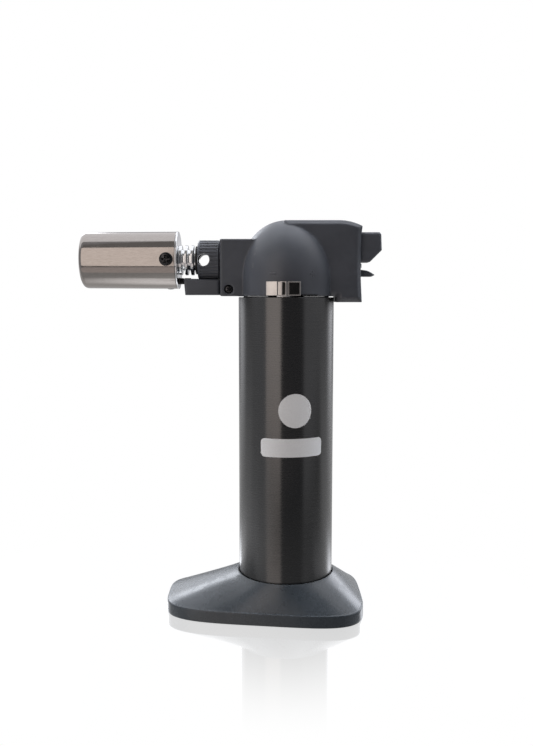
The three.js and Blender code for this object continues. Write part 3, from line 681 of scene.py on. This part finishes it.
# ---- Head ----
NEAR_LOW, NEAR_HIGH = extent("head_shell_near")
HEAD = {
    "bottom": 123.5, "top": 152.1, "wall": 1.6,
    "dome_radius": 18.4, "dome_middle": 130.8, "dome_top": NEAR_HIGH.z - 0.03,
    "front": NEAR_LOW.x, "front_top": 145.0, "front_half": 8.25, "rear_half": 8.5, "rear": 28.1, "step": 18.9,
}
ARM_SWEEP = {"middle": 6.4, "half": 32.0}
SEAM = 0.09
TRIGGER_LOW, TRIGGER_HIGH = extent("trigger_button")
LOCK_LOW, LOCK_HIGH = extent("lock_lever")
SCREW_LOW, SCREW_HIGH = extent("head_screw")
# The head's square openings: low corner, high corner, rounding.
HEAD_SLOTS = (
    ((-26.5, 3.0, 125.6), (-23, 5.4, 128.2), 0.0),
    ((26, -5.7, 136.2), (31, 5.7, TRIGGER_HIGH.z - 0.7), 0.4),
    ((26, -4.6, 130.7), (31, 4.6, 133.9), 0.3),
)


def rear_outline():
    """The rear housing from the side: stepped floor, hollow back and a top that falls away in one arc."""
    back, top, bottom = HEAD["rear"], HEAD["top"], NEAR_LOW.z
    arc_radius = 19.5
    turns = np.radians(np.linspace(27.5, 0, 13))
    crown = [(back - 8.4 + arc_radius * math.sin(t), top - arc_radius * (1 - math.cos(t))) for t in turns]
    return [
        (-1, HEAD["bottom"]), (HEAD["step"], HEAD["bottom"]), (HEAD["step"], bottom), (back + 0.6, bottom),
        (back + 0.1, bottom + 9), (back, bottom + 18), (back + 0.1, bottom + 25), *crown, (-1, top),
    ]


REAR_OUTLINE = rear_outline()


def dome_field(x, y, z):
    """An upright cylinder with an elliptical cap."""
    radius, middle = HEAD["dome_radius"], HEAD["dome_middle"]
    rise = HEAD["dome_top"] - middle
    level = np.hypot(x, y)
    above = np.maximum(z - middle, 0)
    ratio = np.sqrt((level / radius) ** 2 + (above / rise) ** 2)
    slope = np.sqrt((level / radius**2) ** 2 + (above / rise**2) ** 2)
    cap = ratio * (ratio - 1) / np.maximum(slope, 1e-6)
    return np.where(z > middle, cap, level - radius)


def head_body(x, y, z):
    """The closed outer form of the head."""
    front = box_field(x, y, z, (HEAD["front"], -HEAD["front_half"], HEAD["bottom"]),
                      (0, HEAD["front_half"], HEAD["front_top"]), 0.55)
    dome = soft_max(dome_field(x, y, z), HEAD["bottom"] - z, 0.3)
    rear = slab_field(x, z, y, REAR_OUTLINE, HEAD["rear_half"], 1.6, 0.25)
    return soft_min(soft_min(dome, front, 0.4), rear, 0.4)


def head_field(x, y, z):
    """The hollow head with its openings."""
    body = head_body(x, y, z)
    hollow = soft_max(body, -(body + HEAD["wall"]), 0.3)
    level = np.hypot(x, y)
    open_floor = np.maximum(level - HEAD["dome_radius"] + HEAD["wall"],
                            z - HEAD["bottom"] - HEAD["wall"])
    across = np.hypot(y, z - BURNER_Z)
    neck_hole = np.maximum(across - 4.3, np.abs(x - HEAD["front"]) - 3)
    slots = [box_field(x, y, z, *slot) for slot in HEAD_SLOTS]
    turned = np.degrees(np.arctan2(x, -y)) - ARM_SWEEP["middle"]
    arm_relief = np.maximum.reduce([np.radians(np.abs(turned) - ARM_SWEEP["half"]) * HEAD["dome_radius"],
                                    z - HEAD["bottom"] - 0.55, 12 - level])
    pocket = np.maximum(np.hypot(x + 22, z - 126.1) - 1.7, y + 7.0)
    lug = box_field(x, y, z, (27.1, -3, 134.2), (28.9, 3, 136.1), 0.25)
    shell = np.minimum(hollow, lug)
    for opening in (open_floor, neck_hole, *slots, pocket, arm_relief):
        shell = soft_max(shell, -opening, 0.25)
    return shell


def half_of(whole, name, side):
    """One half of the head, cut at the parting line and closed there."""
    work = bmesh.new()
    work.from_mesh(whole.data)
    plane = Vector((0, side * SEAM * MM, 0))
    geometry = [*work.verts, *work.edges, *work.faces]
    bmesh.ops.bisect_plane(work, geom=geometry, plane_co=plane, plane_no=(0, -side, 0), clear_outer=True)
    rim = [edge for edge in work.edges if edge.is_boundary]
    bmesh.ops.triangle_fill(work, edges=rim, use_beauty=True)
    mesh = bpy.data.meshes.new(name)
    work.to_mesh(mesh)
    work.free()
    settle(mesh, 50)
    return new_object(name, mesh)


def build_head():
    low = (HEAD["front"] - 1, -HEAD["dome_radius"] - 1, NEAR_LOW.z - 1)
    high = (HEAD["rear"] + 2, HEAD["dome_radius"] + 1, HEAD["dome_top"] + 1)
    whole = moulded("head", head_field, low, high, 0.42)
    stand_in(half_of(whole, "head_half_near", -1), "head_shell_near", "black_plastic")
    stand_in(half_of(whole, "head_half_far", 1), "head_shell_far", "black_plastic")
    bpy.data.objects.remove(whole)


# ---- Cross-head screws ----
BARREL_SCREW = {"radius": 2.55, "height": 1.25, "shank_radius": 1.1, "shank": 3.6, "cell": 0.13}
BARREL_SCREW_X = -45.3
HEAD_SCREW = {"radius": 1.4, "height": 0.8, "shank_radius": 0.8, "shank": 3.0, "cell": 0.09}
HEAD_SCREW_SEAT = -7.3


def screw_mesh(radius, height, shank_radius, shank, cell):
    """A pan-head cross screw with its seat at z = 0 and its head towards +Z."""
    ball = radius * 1.9

    def field(x, y, z):
        level = np.hypot(x, y)
        crown = np.sqrt(level**2 + (z - height + ball) ** 2) - ball
        head = soft_max(soft_max(level - radius, crown, radius * 0.12), -z, 0.08)
        stem = soft_max(level - shank_radius, np.abs(z + shank / 2) - shank / 2, 0.1)
        arm, half = radius * 0.64, radius * 0.15
        taper = np.clip((height - z) / height, 0, 1) * radius * 0.16
        cross = np.minimum(
            np.maximum(np.abs(x) - half, np.abs(y) - arm + taper),
            np.maximum(np.abs(y) - half, np.abs(x) - arm + taper),
        )
        recess = np.maximum(cross, height * 0.1 - z)
        return soft_max(np.minimum(head, stem), -recess, 0.06)

    low, high = (-radius, -radius, -shank), (radius, radius, height)
    return surface_net(field, low, high, cell)


def screw_piece(name, mesh, turn, place):
    points, faces = mesh
    return new_piece(name, points @ np.array(turn).T + np.array(place), faces, 40)


def spun(angle):
    """Rotation about +Z."""
    s, c = math.sin(angle), math.cos(angle)
    return [[c, -s, 0], [s, c, 0], [0, 0, 1]]


def about_x(angle):
    """Rotation that takes +Z to the direction at that angle round the burner's axis, from +Z towards -Y."""
    s, c = math.sin(angle), math.cos(angle)
    return [[1, 0, 0], [0, c, -s], [0, s, c]]


def build_screws():
    mesh = screw_mesh(**BARREL_SCREW)
    seat = BARREL_RADIUS - 0.05
    for number in range(3):
        node = f"barrel_screw_{number + 1}"
        angle = math.radians(90 + 120 * number)
        place = (BARREL_SCREW_X, -seat * math.sin(angle), BURNER_Z + seat * math.cos(angle))
        piece = screw_piece(f"barrel_cross_screw_{number + 1}", mesh, about_x(angle), place)
        stand_in(piece, node, "black_steel")
    middle = (SCREW_LOW + SCREW_HIGH) / 2
    small = screw_mesh(**HEAD_SCREW)
    place = (middle.x, HEAD_SCREW_SEAT, middle.z)
    turn = np.array(about_x(math.radians(90))) @ np.array(spun(math.radians(45)))
    stand_in(screw_piece("head_cross_screw", small, turn, place), "head_screw", "black_steel")


# ---- Igniter shroud ----
def build_shroud():
    low, high = extent("igniter_shroud")
    collar_radius = extent("air_collar")[1].y
    outline = [(low.x + 0.6, low.z), (high.x, low.z), (high.x, high.z - 0.3), (low.x, high.z)]

    def field(x, y, z):
        outside = slab_field(x, z, y, outline, high.y, 0.5, 0.3)
        inside = box_field(x, y, z, (low.x + 1, low.y + 1, low.z + 1),
                           (high.x + 2, high.y - 1, low.z + 4.3), 0.3)
        cradle = np.maximum(np.hypot(y, z - BURNER_Z) - collar_radius - 0.35, -34.6 - x)
        notch = box_field(x, y, z, (low.x - 1, -1.6, 127.5), (-32.6, 1.6, high.z + 1), 0.2)
        return soft_max(soft_max(soft_max(outside, -inside, 0.25), -cradle, 0.25), -notch, 0.2)

    piece = moulded("igniter_nose", field, low, high, 0.3)
    stand_in(piece, "igniter_shroud", "black_plastic")


# ---- Gas slider and the marks above it ----
SLIDER = {"inner": 18.6, "outer": 19.6, "bottom": 123.7, "top": 128.9, "centre": -4.6, "half_angle": 19.2}
SLIDER_LENGTH = math.radians(2 * SLIDER["half_angle"]) * SLIDER["outer"]
SLIDER_START = math.radians(SLIDER["centre"] - SLIDER["half_angle"])
SLIDER_RISES = {"plate": -0.45, "pads": -0.02, "ridge": 0.42}
SLIDER_SKIN = {part: SLIDER["outer"] + rise for part, rise in SLIDER_RISES.items()}
SLIDER_SLOT, SLIDER_WINDOW = (0.45, 0.575), (0.635, 0.985)


def slider_place(x, y):
    """How far along the slider's face a point is, and its distance from the tank's axis."""
    return (np.arctan2(x, -y) - SLIDER_START) * SLIDER["outer"], np.hypot(x, y)


def slider_pad(u, r, z, share_from, share_to, height, margin=0.0, floor=SLIDER["inner"]):
    """A raised pad over part of the slider's length."""
    return box_field(u, r, z, (share_from * SLIDER_LENGTH + margin, floor, SLIDER["bottom"] + margin),
                     (share_to * SLIDER_LENGTH - margin, height, SLIDER["top"] - margin), 0.14)


def slider_hollows(u, r, z, depth, height):
    """The slot in the ridge and the window in the right pad."""
    slot = slider_pad(u, r, z, *SLIDER_SLOT, height, 0.3, SLIDER_SKIN["ridge"] - depth)
    opening = slider_pad(u, r, z, *SLIDER_WINDOW, height, 0.4, SLIDER_SKIN["pads"] - depth)
    return np.minimum(slot, opening)


def slider_field(x, y, z):
    u, r = slider_place(x, y)
    body = slider_pad(u, r, z, 0, 1, SLIDER_SKIN["plate"], 0.1)
    for share_from, share_to, skin in ((0, 0.335, "pads"), (0.425, 0.60, "ridge"), (0.635, 1, "pads")):
        body = soft_min(body, slider_pad(u, r, z, share_from, share_to, SLIDER_SKIN[skin]), 0.08)
    return soft_max(body, -slider_hollows(u, r, z, 0.35, 22), 0.06)


# Thin sheets in the slider's slot and window, coloured near-black as painted dark reflection rather than a
# real inlay.
def painted_reflection_field(x, y, z):
    u, r = slider_place(x, y)
    slot = slider_pad(u, r, z, *SLIDER_SLOT, SLIDER_SKIN["ridge"] - 0.15, 0.3, SLIDER_SKIN["ridge"] - 0.5)
    opening = slider_pad(u, r, z, *SLIDER_WINDOW, SLIDER_SKIN["pads"] - 0.1, 0.4, SLIDER_SKIN["pads"] - 0.5)
    return np.minimum(slot, opening)


def build_slider():
    reach = SLIDER["outer"] + 0.5
    sides = [math.radians(SLIDER["centre"] + s * SLIDER["half_angle"]) for s in (-1, 1)]
    low = (reach * math.sin(sides[0]), -reach, SLIDER["bottom"])
    high = (reach * math.sin(sides[1]), -SLIDER["inner"] * math.cos(sides[0]), SLIDER["top"])
    piece = moulded("gas_slider", slider_field, low, high, 0.14, 40)
    stand_in(piece, "flow_slider", "bright_chrome")
    wear(piece, "satin_chrome")
    # The near-black sheets in the slot and window are painted dark reflection.
    belongs(moulded("slider_painted_reflection", painted_reflection_field, low, high, 0.12, 40), "flow_control", "painted_dark_reflection")


def build_flow_marks():
    """Raised minus and plus signs on the dome, over the two ends of the slider's travel."""
    rise, stroke, size, z = 0.16, 0.32, 1.15, 131.7
    radius = HEAD["dome_radius"]

    def field(x, y, height):
        angle = np.degrees(np.arctan2(x, -y))
        r = np.hypot(x, y) - radius
        skin = np.maximum(r - rise, -r - 0.3)
        shapes = []
        for centre, upright in ((-17, False), (31, True)):
            u = np.radians(angle - centre) * radius
            shapes.append(np.maximum(np.abs(u) - size, np.abs(height - z) - stroke))
            if upright:
                shapes.append(np.maximum(np.abs(u) - stroke, np.abs(height - z) - size))
        return soft_max(np.minimum.reduce(shapes), skin, 0.12)

    low = (-7.5, -radius - 0.4, z - 1.4)
    high = (12, -14.2, z + 1.4)
    belongs(moulded("flow_marks", field, low, high, 0.13), "torch_body", "black_plastic")


# ---- Trigger and flame lock ----
def build_trigger():
    rear, top, bottom = TRIGGER_HIGH.x, TRIGGER_HIGH.z - 1, 136.5
    button = filleted([(21.5, bottom), (rear - 4.5, bottom), (rear, bottom + 4.5), (rear - 0.3, top - 0.7),
                       (rear - 1.0, top), (21.5, top)], 0.5, 3)
    ramp_side = [(TRIGGER_LOW.x, TRIGGER_LOW.z), (20.3, TRIGGER_LOW.z), (20.3, 129.3), (14.5, 129.3),
                 (TRIGGER_LOW.x, 127)]

    def field(x, y, z):
        body = slab_field(x, z, y, button, 5.4, 0.8, 0.3)
        shoulder = box_field(x, y, z, (23.2, -6.1, bottom), (25.9, 6.1, TRIGGER_HIGH.z), 0.3)
        arm = box_field(x, y, z, (18.3, -1.2, bottom), (22.5, 1.2, bottom + 2.4), 0.2)
        leg = box_field(x, y, z, (18.3, -1.2, 127), (20.3, 1.2, bottom + 2), 0.2)
        ramp_part = slab_field(x, z, y, ramp_side, 2.6, 0.2, 0.2)
        return np.minimum.reduce([body, shoulder, arm, leg, ramp_part])

    piece = moulded("trigger_cap", field, TRIGGER_LOW, TRIGGER_HIGH, 0.34)
    stand_in(piece, "trigger_button", "black_plastic")


def build_lock():
    pivot, bottom, top, tip, swing = 24, 131.0, 133.6, LOCK_HIGH.x, math.radians(22)
    side = [(pivot - 1, bottom), (tip - 1.5, bottom), (tip, bottom + 0.7), (tip - 1.6, top - 1.0),
            (tip - 3.2, top - 0.3), (tip - 5.2, top), (pivot - 1, top)]
    plan = [(pivot - 1, -2.6), (tip - 2, -2.2), (tip, -1), (tip, 1), (tip - 2, 2.2), (pivot - 1, 2.6)]
    hook = [(-8, -0.6), (-6, -0.6), (-6, 1.6), (0, 1.6), (0, 3.2), (-8, 3.2)]

    def field(x, y, z):
        blade = soft_max(slab_field(x, z, y, side, 3, 0.1, 0.2), outline_field(x, y, plan), 0.5)
        level = np.hypot(x - pivot, y)
        middle, half = (bottom + top) / 2, (top - bottom) / 2
        hub = soft_max(level - 2.9, np.abs(z - middle) - half, 0.2)
        trunnion = soft_max(level - 1.6, np.abs(z - 132.2) - 3.1, 0.2)
        along = (x - pivot) * math.cos(swing) - y * math.sin(swing)
        across = (x - pivot) * math.sin(swing) + y * math.cos(swing)
        arm = np.maximum(outline_field(along, across, hook), np.abs(z - middle) - half)
        return np.minimum.reduce([blade, hub, trunnion, arm])

    piece = moulded("lock_blade", field, LOCK_LOW, LOCK_HIGH, 0.22)
    stand_in(piece, "lock_lever", "black_plastic")


# ---- Air collar, neck and washer ----
COLLAR_LOW, COLLAR_HIGH = extent("air_collar")
COLLAR_BORE = 4.3
AIR_HOLE = {"x": -31.7, "radius": 2.4}
FINS = {"count": 3, "first": -41.35, "pitch": 2.3, "width": 1.2, "radius": 5.75}


def build_collar():
    """Thirty-two ribs behind a short bevelled nose, with one air hole right through."""
    ribs, depth, bore = 32, 0.34, COLLAR_BORE
    front, rear, radius = COLLAR_LOW.x, COLLAR_HIGH.x, COLLAR_HIGH.y

    def ripple(angle, station):
        fade = min(max((station - front - 0.8) / 0.4, 0), 1) * min(max((rear - 0.35 - station) / 0.3, 0), 1)
        return -depth * fade * (0.5 + 0.5 * math.tanh(4 * (math.sin(ribs * angle) - 0.45)))

    nose = [(bore, front), (radius - 0.6, front), (radius, front + 0.6), (radius, front + 0.8)]
    tail = [(radius, rear - 0.35), (radius, rear - 0.2), (radius - 0.2, rear), (bore, rear)]
    ribbed = [(radius, s) for s in (front + 1.0, front + 1.2, front + 2.0, (front + rear) / 2, rear - 0.65)]
    profile = [*filleted(nose, 0.25, 3, closed=False), *ribbed, *filleted(tail, 0.1, 2, closed=False)]
    rings = [circle_ring("x", r, s, BURNER, ribs * 16, ripple if r > radius - 0.01 else None)
             for r, s in profile]
    piece = new_piece("ribbed_collar", *ring_loft(rings), 45)
    cut(piece, drill("y", AIR_HOLE["radius"], -10, 10, (AIR_HOLE["x"], 0, BURNER_Z)), sharp=45)
    stand_in(piece, "air_collar", "black_plastic")


def build_neck():
    low, high = extent("burner_neck")
    radius, bore = 4.0, 2.9
    outside = [(bore, low.x), (radius, low.x)]
    for number in range(FINS["count"]):
        start = FINS["first"] + number * FINS["pitch"]
        end = start + FINS["width"]
        outside += [(radius, start), (FINS["radius"], start), (FINS["radius"], end), (radius, end)]
    outside += [(radius, high.x - 1.4), (5.6, high.x - 1.4), (5.6, high.x), (bore, high.x)]
    piece = lathe("finned_neck", "x", filleted(outside, 0.22, 3), BURNER, 128)
    cut(piece, drill("y", AIR_HOLE["radius"], -10, 10, (AIR_HOLE["x"], 0, BURNER_Z)))
    stand_in(piece, "burner_neck", "bright_chrome")
    low, high = extent("collar_washer")
    ring = filleted(ring_profile(COLLAR_BORE, high.y, low.x, high.x), 0.15, 3)
    stand_in(lathe("collar_ring", "x", ring, BURNER, 96), "collar_washer", "black_rubber")


# ---- Barrel ----
def build_barrel():
    front, rear, bore = BARREL_LOW.x, BARREL_HIGH.x, 10.05
    front_radius = BARREL_RADIUS - 0.2
    rolled = [(bore, front + 2.2), (9.85, front + 1.4), (9.3, front + 0.8), (8.8, front + 0.35),
              (8.95, front + 0.05), (9.5, front + 0.05), (10.2, front + 0.5), (10.6, front + 1.15),
              (front_radius, front + 2.0)]
    profile = [*catmull(rolled, 4), (BARREL_RADIUS, rear - 0.15), (BARREL_RADIUS - 0.15, rear), (bore, rear)]
    stand_in(lathe("barrel", "x", profile, BURNER, 256, 30), "barrel_tube", "gunmetal_chrome")
    low, high = extent("barrel_cap")
    cap = filleted([(4.3, low.x), (9.7, low.x), (9.7, high.x - 0.6), (high.y, high.x - 0.6), (high.y, high.x),
                    (4.3, high.x)], 0.15, 3)
    piece = lathe("barrel_end", "x", cap, BURNER, 192)
    spark_z = spark_height()
    cut(piece, drill("x", 1.45, low.x - 1, high.x + 1, (0, 0, spark_z)))
    stand_in(piece, "barrel_cap", "bright_chrome")


def spark_height():
    low, high = extent("spark_boot")
    return (low.z + high.z) / 2


FLAME_PORTS = {"middle": 1.7, "count": 6, "radius": 0.8, "circle": 3.6}


def build_flame_parts():
    cup = [(4.3, -48.9), (5.4, -48.9), (5.4, -54), (6.4, -57), (6.4, -66), (5.7, -66), (5.7, -57.4),
           (4.3, -54.4)]
    stand_in(lathe("flame_shield", "x", filleted(cup, 0.3, 4), BURNER, 96), "flame_cup", "plain_steel")
    low, high = extent("flame_disc")
    disc = lathe("flame_plate", "x", ring_profile(0, high.y, low.x, high.x), BURNER, 96)
    ports = [drill("x", FLAME_PORTS["middle"], low.x - 1, high.x + 1, BURNER, 32)]
    for number in range(FLAME_PORTS["count"]):
        angle = math.radians(360 / FLAME_PORTS["count"] * number)
        reach = FLAME_PORTS["circle"]
        centre = (0, reach * math.cos(angle), BURNER_Z + reach * math.sin(angle))
        ports.append(drill("x", FLAME_PORTS["radius"], low.x - 1, high.x + 1, centre, 20))
    cut(disc, *ports)
    stand_in(disc, "flame_disc", "turned_brass")


def build_spark_parts():
    z = spark_height()
    centre = (0, 0, z)
    low, high = extent("spark_boot")
    boot = [(0, low.x), (1.2, low.x), (1.2, low.x + 1.4), (1.0, low.x + 1.7), (1.2, low.x + 2.0),
            (1.2, high.x), (0, high.x)]
    profile = [boot[0], *filleted(boot[1:-1], 0.2, 3, closed=False), boot[-1]]
    stand_in(lathe("wire_boot", "x", profile, centre, 32), "spark_boot", "black_rubber")
    low, high = extent("spark_insulator")
    ring = filleted(ring_profile(0.65, 1.15, low.x, high.x), 0.12, 3)
    stand_in(lathe("ceramic_tube", "x", ring, centre, 32), "spark_insulator", "white_ceramic")
    bend = [(-56, 0, z), (-62, 0, z), (-67.6, 0, z), (-68.8, 0, z + 0.8), (-69.2, 0, z + 2.8)]
    stand_in(rod("electrode_wire", catmull(bend, 8), 0.35), "spark_electrode", "plain_steel")
    wire = [(-36.6, 0, 129.2), (-34.5, 0.4, 127.9), (-31, 1.8, 126.9), (-27, 4.0, 126.8), (-23.5, 4.2, 126.8),
            (-19.5, 4.8, 128.2), (-16, 5.6, 133), (-12, 5.8, 139.5), (-5, 3.6, 143.2), (1.8, 0, 143.2)]
    stand_in(rod("spark_lead", catmull(wire, 8), 0.72), "spark_wire", "black_rubber")


# ---- Springs and the gas hose ----
SPRINGS = (
    # node, axis it lies along, joint that presses it, wire radius, which end stays
    ("piezo_spring", 0, "plunger_slide", 0.25, "low"),
    ("refill_valve_spring", 2, "refill_press", 0.25, "high"),
    ("outlet_valve_spring", 2, "valve_lift", 0.2, "high"),
)


def shorten(piece):
    """Gives a piece its own copy of its mesh."""
    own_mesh(piece)


def build_springs(turns=4, steps=24):
    for node, axis, joint, wire, end in SPRINGS:
        low, high = extent(node)
        middle = (low + high) / 2
        across = [(axis + 1) % 3, (axis + 2) % 3]
        radius = (high - low)[across[0]] / 2 - wire
        path = []
        for share in np.linspace(0, 1, turns * steps + 1):
            angle = 2 * math.pi * turns * share
            point = Vector(middle)
            point[axis] = low[axis] + wire + share * (high[axis] - low[axis] - 2 * wire)
            point[across[0]] += radius * math.cos(angle)
            point[across[1]] += radius * math.sin(angle)
            path.append(point)
        piece = rod(node.replace("spring", "coil"), path, wire, 12)
        stand_in(piece, node, "plain_steel")
        fixed = Vector(middle)
        fixed[axis] = {"low": low, "high": high}[end][axis]
        shorten(piece)


def build_gas_hose():
    low = extent("gas_tube")[0]
    route = [(0, 0, low.z), (0, 0, low.z + 1.4), (-0.8, 0, BURNER_Z - 0.7), (-3, 0, BURNER_Z),
             (-8, 0, BURNER_Z), (low.x, 0, BURNER_Z)]
    piece = hose("gas_hose", catmull(route, 6), 1.2, 0.7)
    stand_in(piece, "gas_tube", "black_rubber")
    shorten(piece)


# ---- CAD nodes that stay, with their looks ----
def dress_cad_nodes():
    for node in frame["nodes"].values():
        if not node.hide_render:
            slots = [m.name.split(".")[0] for m in node.data.materials]
            wear(node, slots[0])


# ---- Studio ----
FLOOR = {"front": -105.0, "back": 700.0, "side": 600.0}
KEY = {"y": -420.0, "x": (-499.0, -98.0), "z": (-60.0, 650.0)}
BACK_LIGHT = 0.55
# Bright panels behind: azimuth from and to, height from and to, colour.
PANELS = ((-166, -151, 17, 33, (5.6, 5.8, 6.2)), (131, 151, 8, 34, (4.0, 4.1, 4.4)))
WHITE = (1.0, 1.0, 1.0, 1)


def studio_material(name):
    """An empty material, and whether a ray comes straight from the camera."""
    material = bpy.data.materials.new(name)
    material.use_nodes = True
    tree = material.node_tree
    tree.nodes.clear()
    return material, tree, add(tree, "LightPath").outputs["Is Camera Ray"]


def floor_material():
    """Glossy white acrylic lit from below: it mirrors the stand softly, less further out."""
    material, tree, seen = studio_material("studio_floor")
    place = add(tree, "SeparateXYZ", {0: millimetres(tree)})
    past_middle = calculate(tree, "SUBTRACT", calculate(tree, "ABSOLUTE", place.outputs["X"]), 30.0)
    across = calculate(tree, "POWER", calculate(tree, "MAXIMUM", past_middle, 0.0), 2.0)
    along = calculate(tree, "POWER", place.outputs["Y"], 2.0)
    distance = calculate(tree, "SQRT", calculate(tree, "ADD", across, along))
    mirror = ramp(tree, distance, 24, 98, 0.335, 0.0)
    lit = calculate(tree, "SUBTRACT", 1.0, mirror)
    beside = calculate(tree, "SUBTRACT", place.outputs["X"], AXIS.x / MM)
    in_front = ramp(tree, beside, -45, -35, 0.36, 0.12)
    for_pieces = ramp(tree, place.outputs["Y"], -30, 30, in_front, BACK_LIGHT)
    unseen = calculate(tree, "SUBTRACT", 1.0, seen)
    unlike = times(tree, unseen, calculate(tree, "SUBTRACT", for_pieces, lit))
    glow = add(tree, "Emission", {"Color": WHITE, "Strength": calculate(tree, "ADD", lit, unlike)})
    strength = calculate(tree, "DIVIDE", mirror, BACK_LIGHT)
    tint = add(tree, "CombineColor", {0: strength, 1: strength, 2: strength})
    gloss = add(tree, "BsdfGlossy", {"Color": tint.outputs[0], "Roughness": 0.03})
    both = add(tree, "AddShader", {0: glow.outputs[0], 1: gloss.outputs[0]})
    add(tree, "OutputMaterial", {"Surface": both.outputs[0]})
    return material


def key_material():
    """A warm soft box that lights the pieces and isn't seen itself."""
    material, tree, seen = studio_material("soft_box")
    glow = add(tree, "Emission", {"Color": (1.0, 0.90, 0.84, 1), "Strength": 1.18})
    clear = add(tree, "BsdfTransparent", {"Color": WHITE})
    shown = add(tree, "MixShader", {0: seen, 1: glow.outputs[0], 2: clear.outputs[0]})
    add(tree, "OutputMaterial", {"Surface": shown.outputs[0]})
    return material


def stage_sheet(name, corners, material):
    mesh = bpy.data.meshes.new(name)
    mesh.from_pydata([tuple(v * MM for v in corner) for corner in corners], [], [(0, 1, 2, 3)])
    mesh.materials.append(material)
    new_object(name, mesh)


def build_stage():
    side, front, back = FLOOR["side"], FLOOR["front"], FLOOR["back"]
    corners = [(x, y, -0.02) for x, y in ((-side, front), (side, front), (side, back), (-side, back))]
    stage_sheet("studio_floor", corners, floor_material())
    (left, right), (low, high) = KEY["x"], KEY["z"]
    middle = AXIS.x / MM
    corners = [(x + middle, KEY["y"], z) for x, z in ((left, low), (right, low), (right, high), (left, high))]
    stage_sheet("soft_box", corners, key_material())


def window(tree, value, start, end, soft):
    """1 between two values and 0 outside, with soft ends."""
    rise = ramp(tree, value, start - soft, start + soft)
    fall = ramp(tree, value, end - soft, end + soft, 1.0, 0.0)
    return times(tree, rise, fall)


def build_world():
    """A studio given by direction: dim in front, white above and behind, with two bright panels."""
    world = bpy.data.worlds.new("studio")
    bpy.context.scene.world = world
    world.use_nodes = True
    tree = world.node_tree
    tree.nodes.clear()
    part = add(tree, "SeparateXYZ", {0: add(tree, "TexCoord").outputs["Generated"]})
    x, y, z = part.outputs["X"], part.outputs["Y"], part.outputs["Z"]
    azimuth = calculate(tree, "ARCTAN2", x, times(tree, y, -1.0))
    turned_away = calculate(tree, "ABSOLUTE", times(tree, azimuth, 180 / math.pi))
    height = times(tree, calculate(tree, "ARCSINE", z), 180 / math.pi)

    light = blend_colours(tree, ramp(tree, height, 35, 55), (0.085, 0.085, 0.09), (0.23, 0.225, 0.22))
    light = blend_colours(tree, ramp(tree, turned_away, 38, 46), light, (0.34, 0.34, 0.35))
    light = blend_colours(tree, ramp(tree, height, -32, -24, 1.0, 0.0), light, (0.52, 0.47, 0.455))
    ceiling = times(tree, ramp(tree, z, 0.35, 0.6), ramp(tree, y, -0.2, -0.12))
    cards = times(tree, ramp(tree, turned_away, 141, 145), ramp(tree, height, 0, 6, 1.0, 0.0))
    white = calculate(tree, "MAXIMUM", ramp(tree, turned_away, 112, 128), ceiling)
    room = times(tree, white, calculate(tree, "SUBTRACT", 1.0, cards))
    light = blend_colours(tree, room, light, (1.15, 1.16, 1.20))
    degrees = times(tree, azimuth, 180 / math.pi)
    for start, end, low, high, colour in PANELS:
        panel = times(tree, window(tree, degrees, start, end, 1.5), window(tree, height, low, high, 2))
        light = blend_colours(tree, panel, light, colour)
    behind = times(tree, ramp(tree, turned_away, 163, 166), window(tree, height, 3, 33, 2))
    light = blend_colours(tree, behind, light, (BACK_LIGHT, BACK_LIGHT, BACK_LIGHT + 0.02))
    path = add(tree, "LightPath")
    overhead = times(tree, ceiling, path.outputs["Is Diffuse Ray"])
    light = blend_colours(tree, overhead, light, (5.6, 5.65, 5.9))
    shown = blend_colours(tree, path.outputs["Is Camera Ray"], light, (1.0, 1.0, 1.0))
    background = add(tree, "Background", {"Color": shown, "Strength": 1.0})
    add(tree, "OutputWorld", {"Surface": background.outputs[0]})


CAMERA = {"place": (-7.66, -302.4, 123.4), "down": 5.66, "lens": 37.28, "film": 36}


def build_camera():
    """A normal lens in front of the torch, at the height of the head's foot and tilted slightly down."""
    camera = bpy.data.cameras.new("camera")
    camera.sensor_width = CAMERA["film"]
    camera.lens = CAMERA["lens"]
    camera.clip_start, camera.clip_end = 0.01, 20
    holder = new_object("camera", camera)
    holder.location = Vector(CAMERA["place"]) * MM + AXIS
    holder.rotation_euler = (math.radians(90 - CAMERA["down"]), 0, 0)
    bpy.context.scene.camera = holder


build_camera()
build_stand()
build_sleeve()
build_print()
build_head()
build_screws()
build_shroud()
build_slider()
build_flow_marks()
build_trigger()
build_lock()
build_collar()
build_neck()
build_barrel()
build_flame_parts()
build_spark_parts()
build_springs()
build_gas_hose()
dress_cad_nodes()
build_stage()
build_world()
bpy.context.scene.view_settings.view_transform = "Standard"
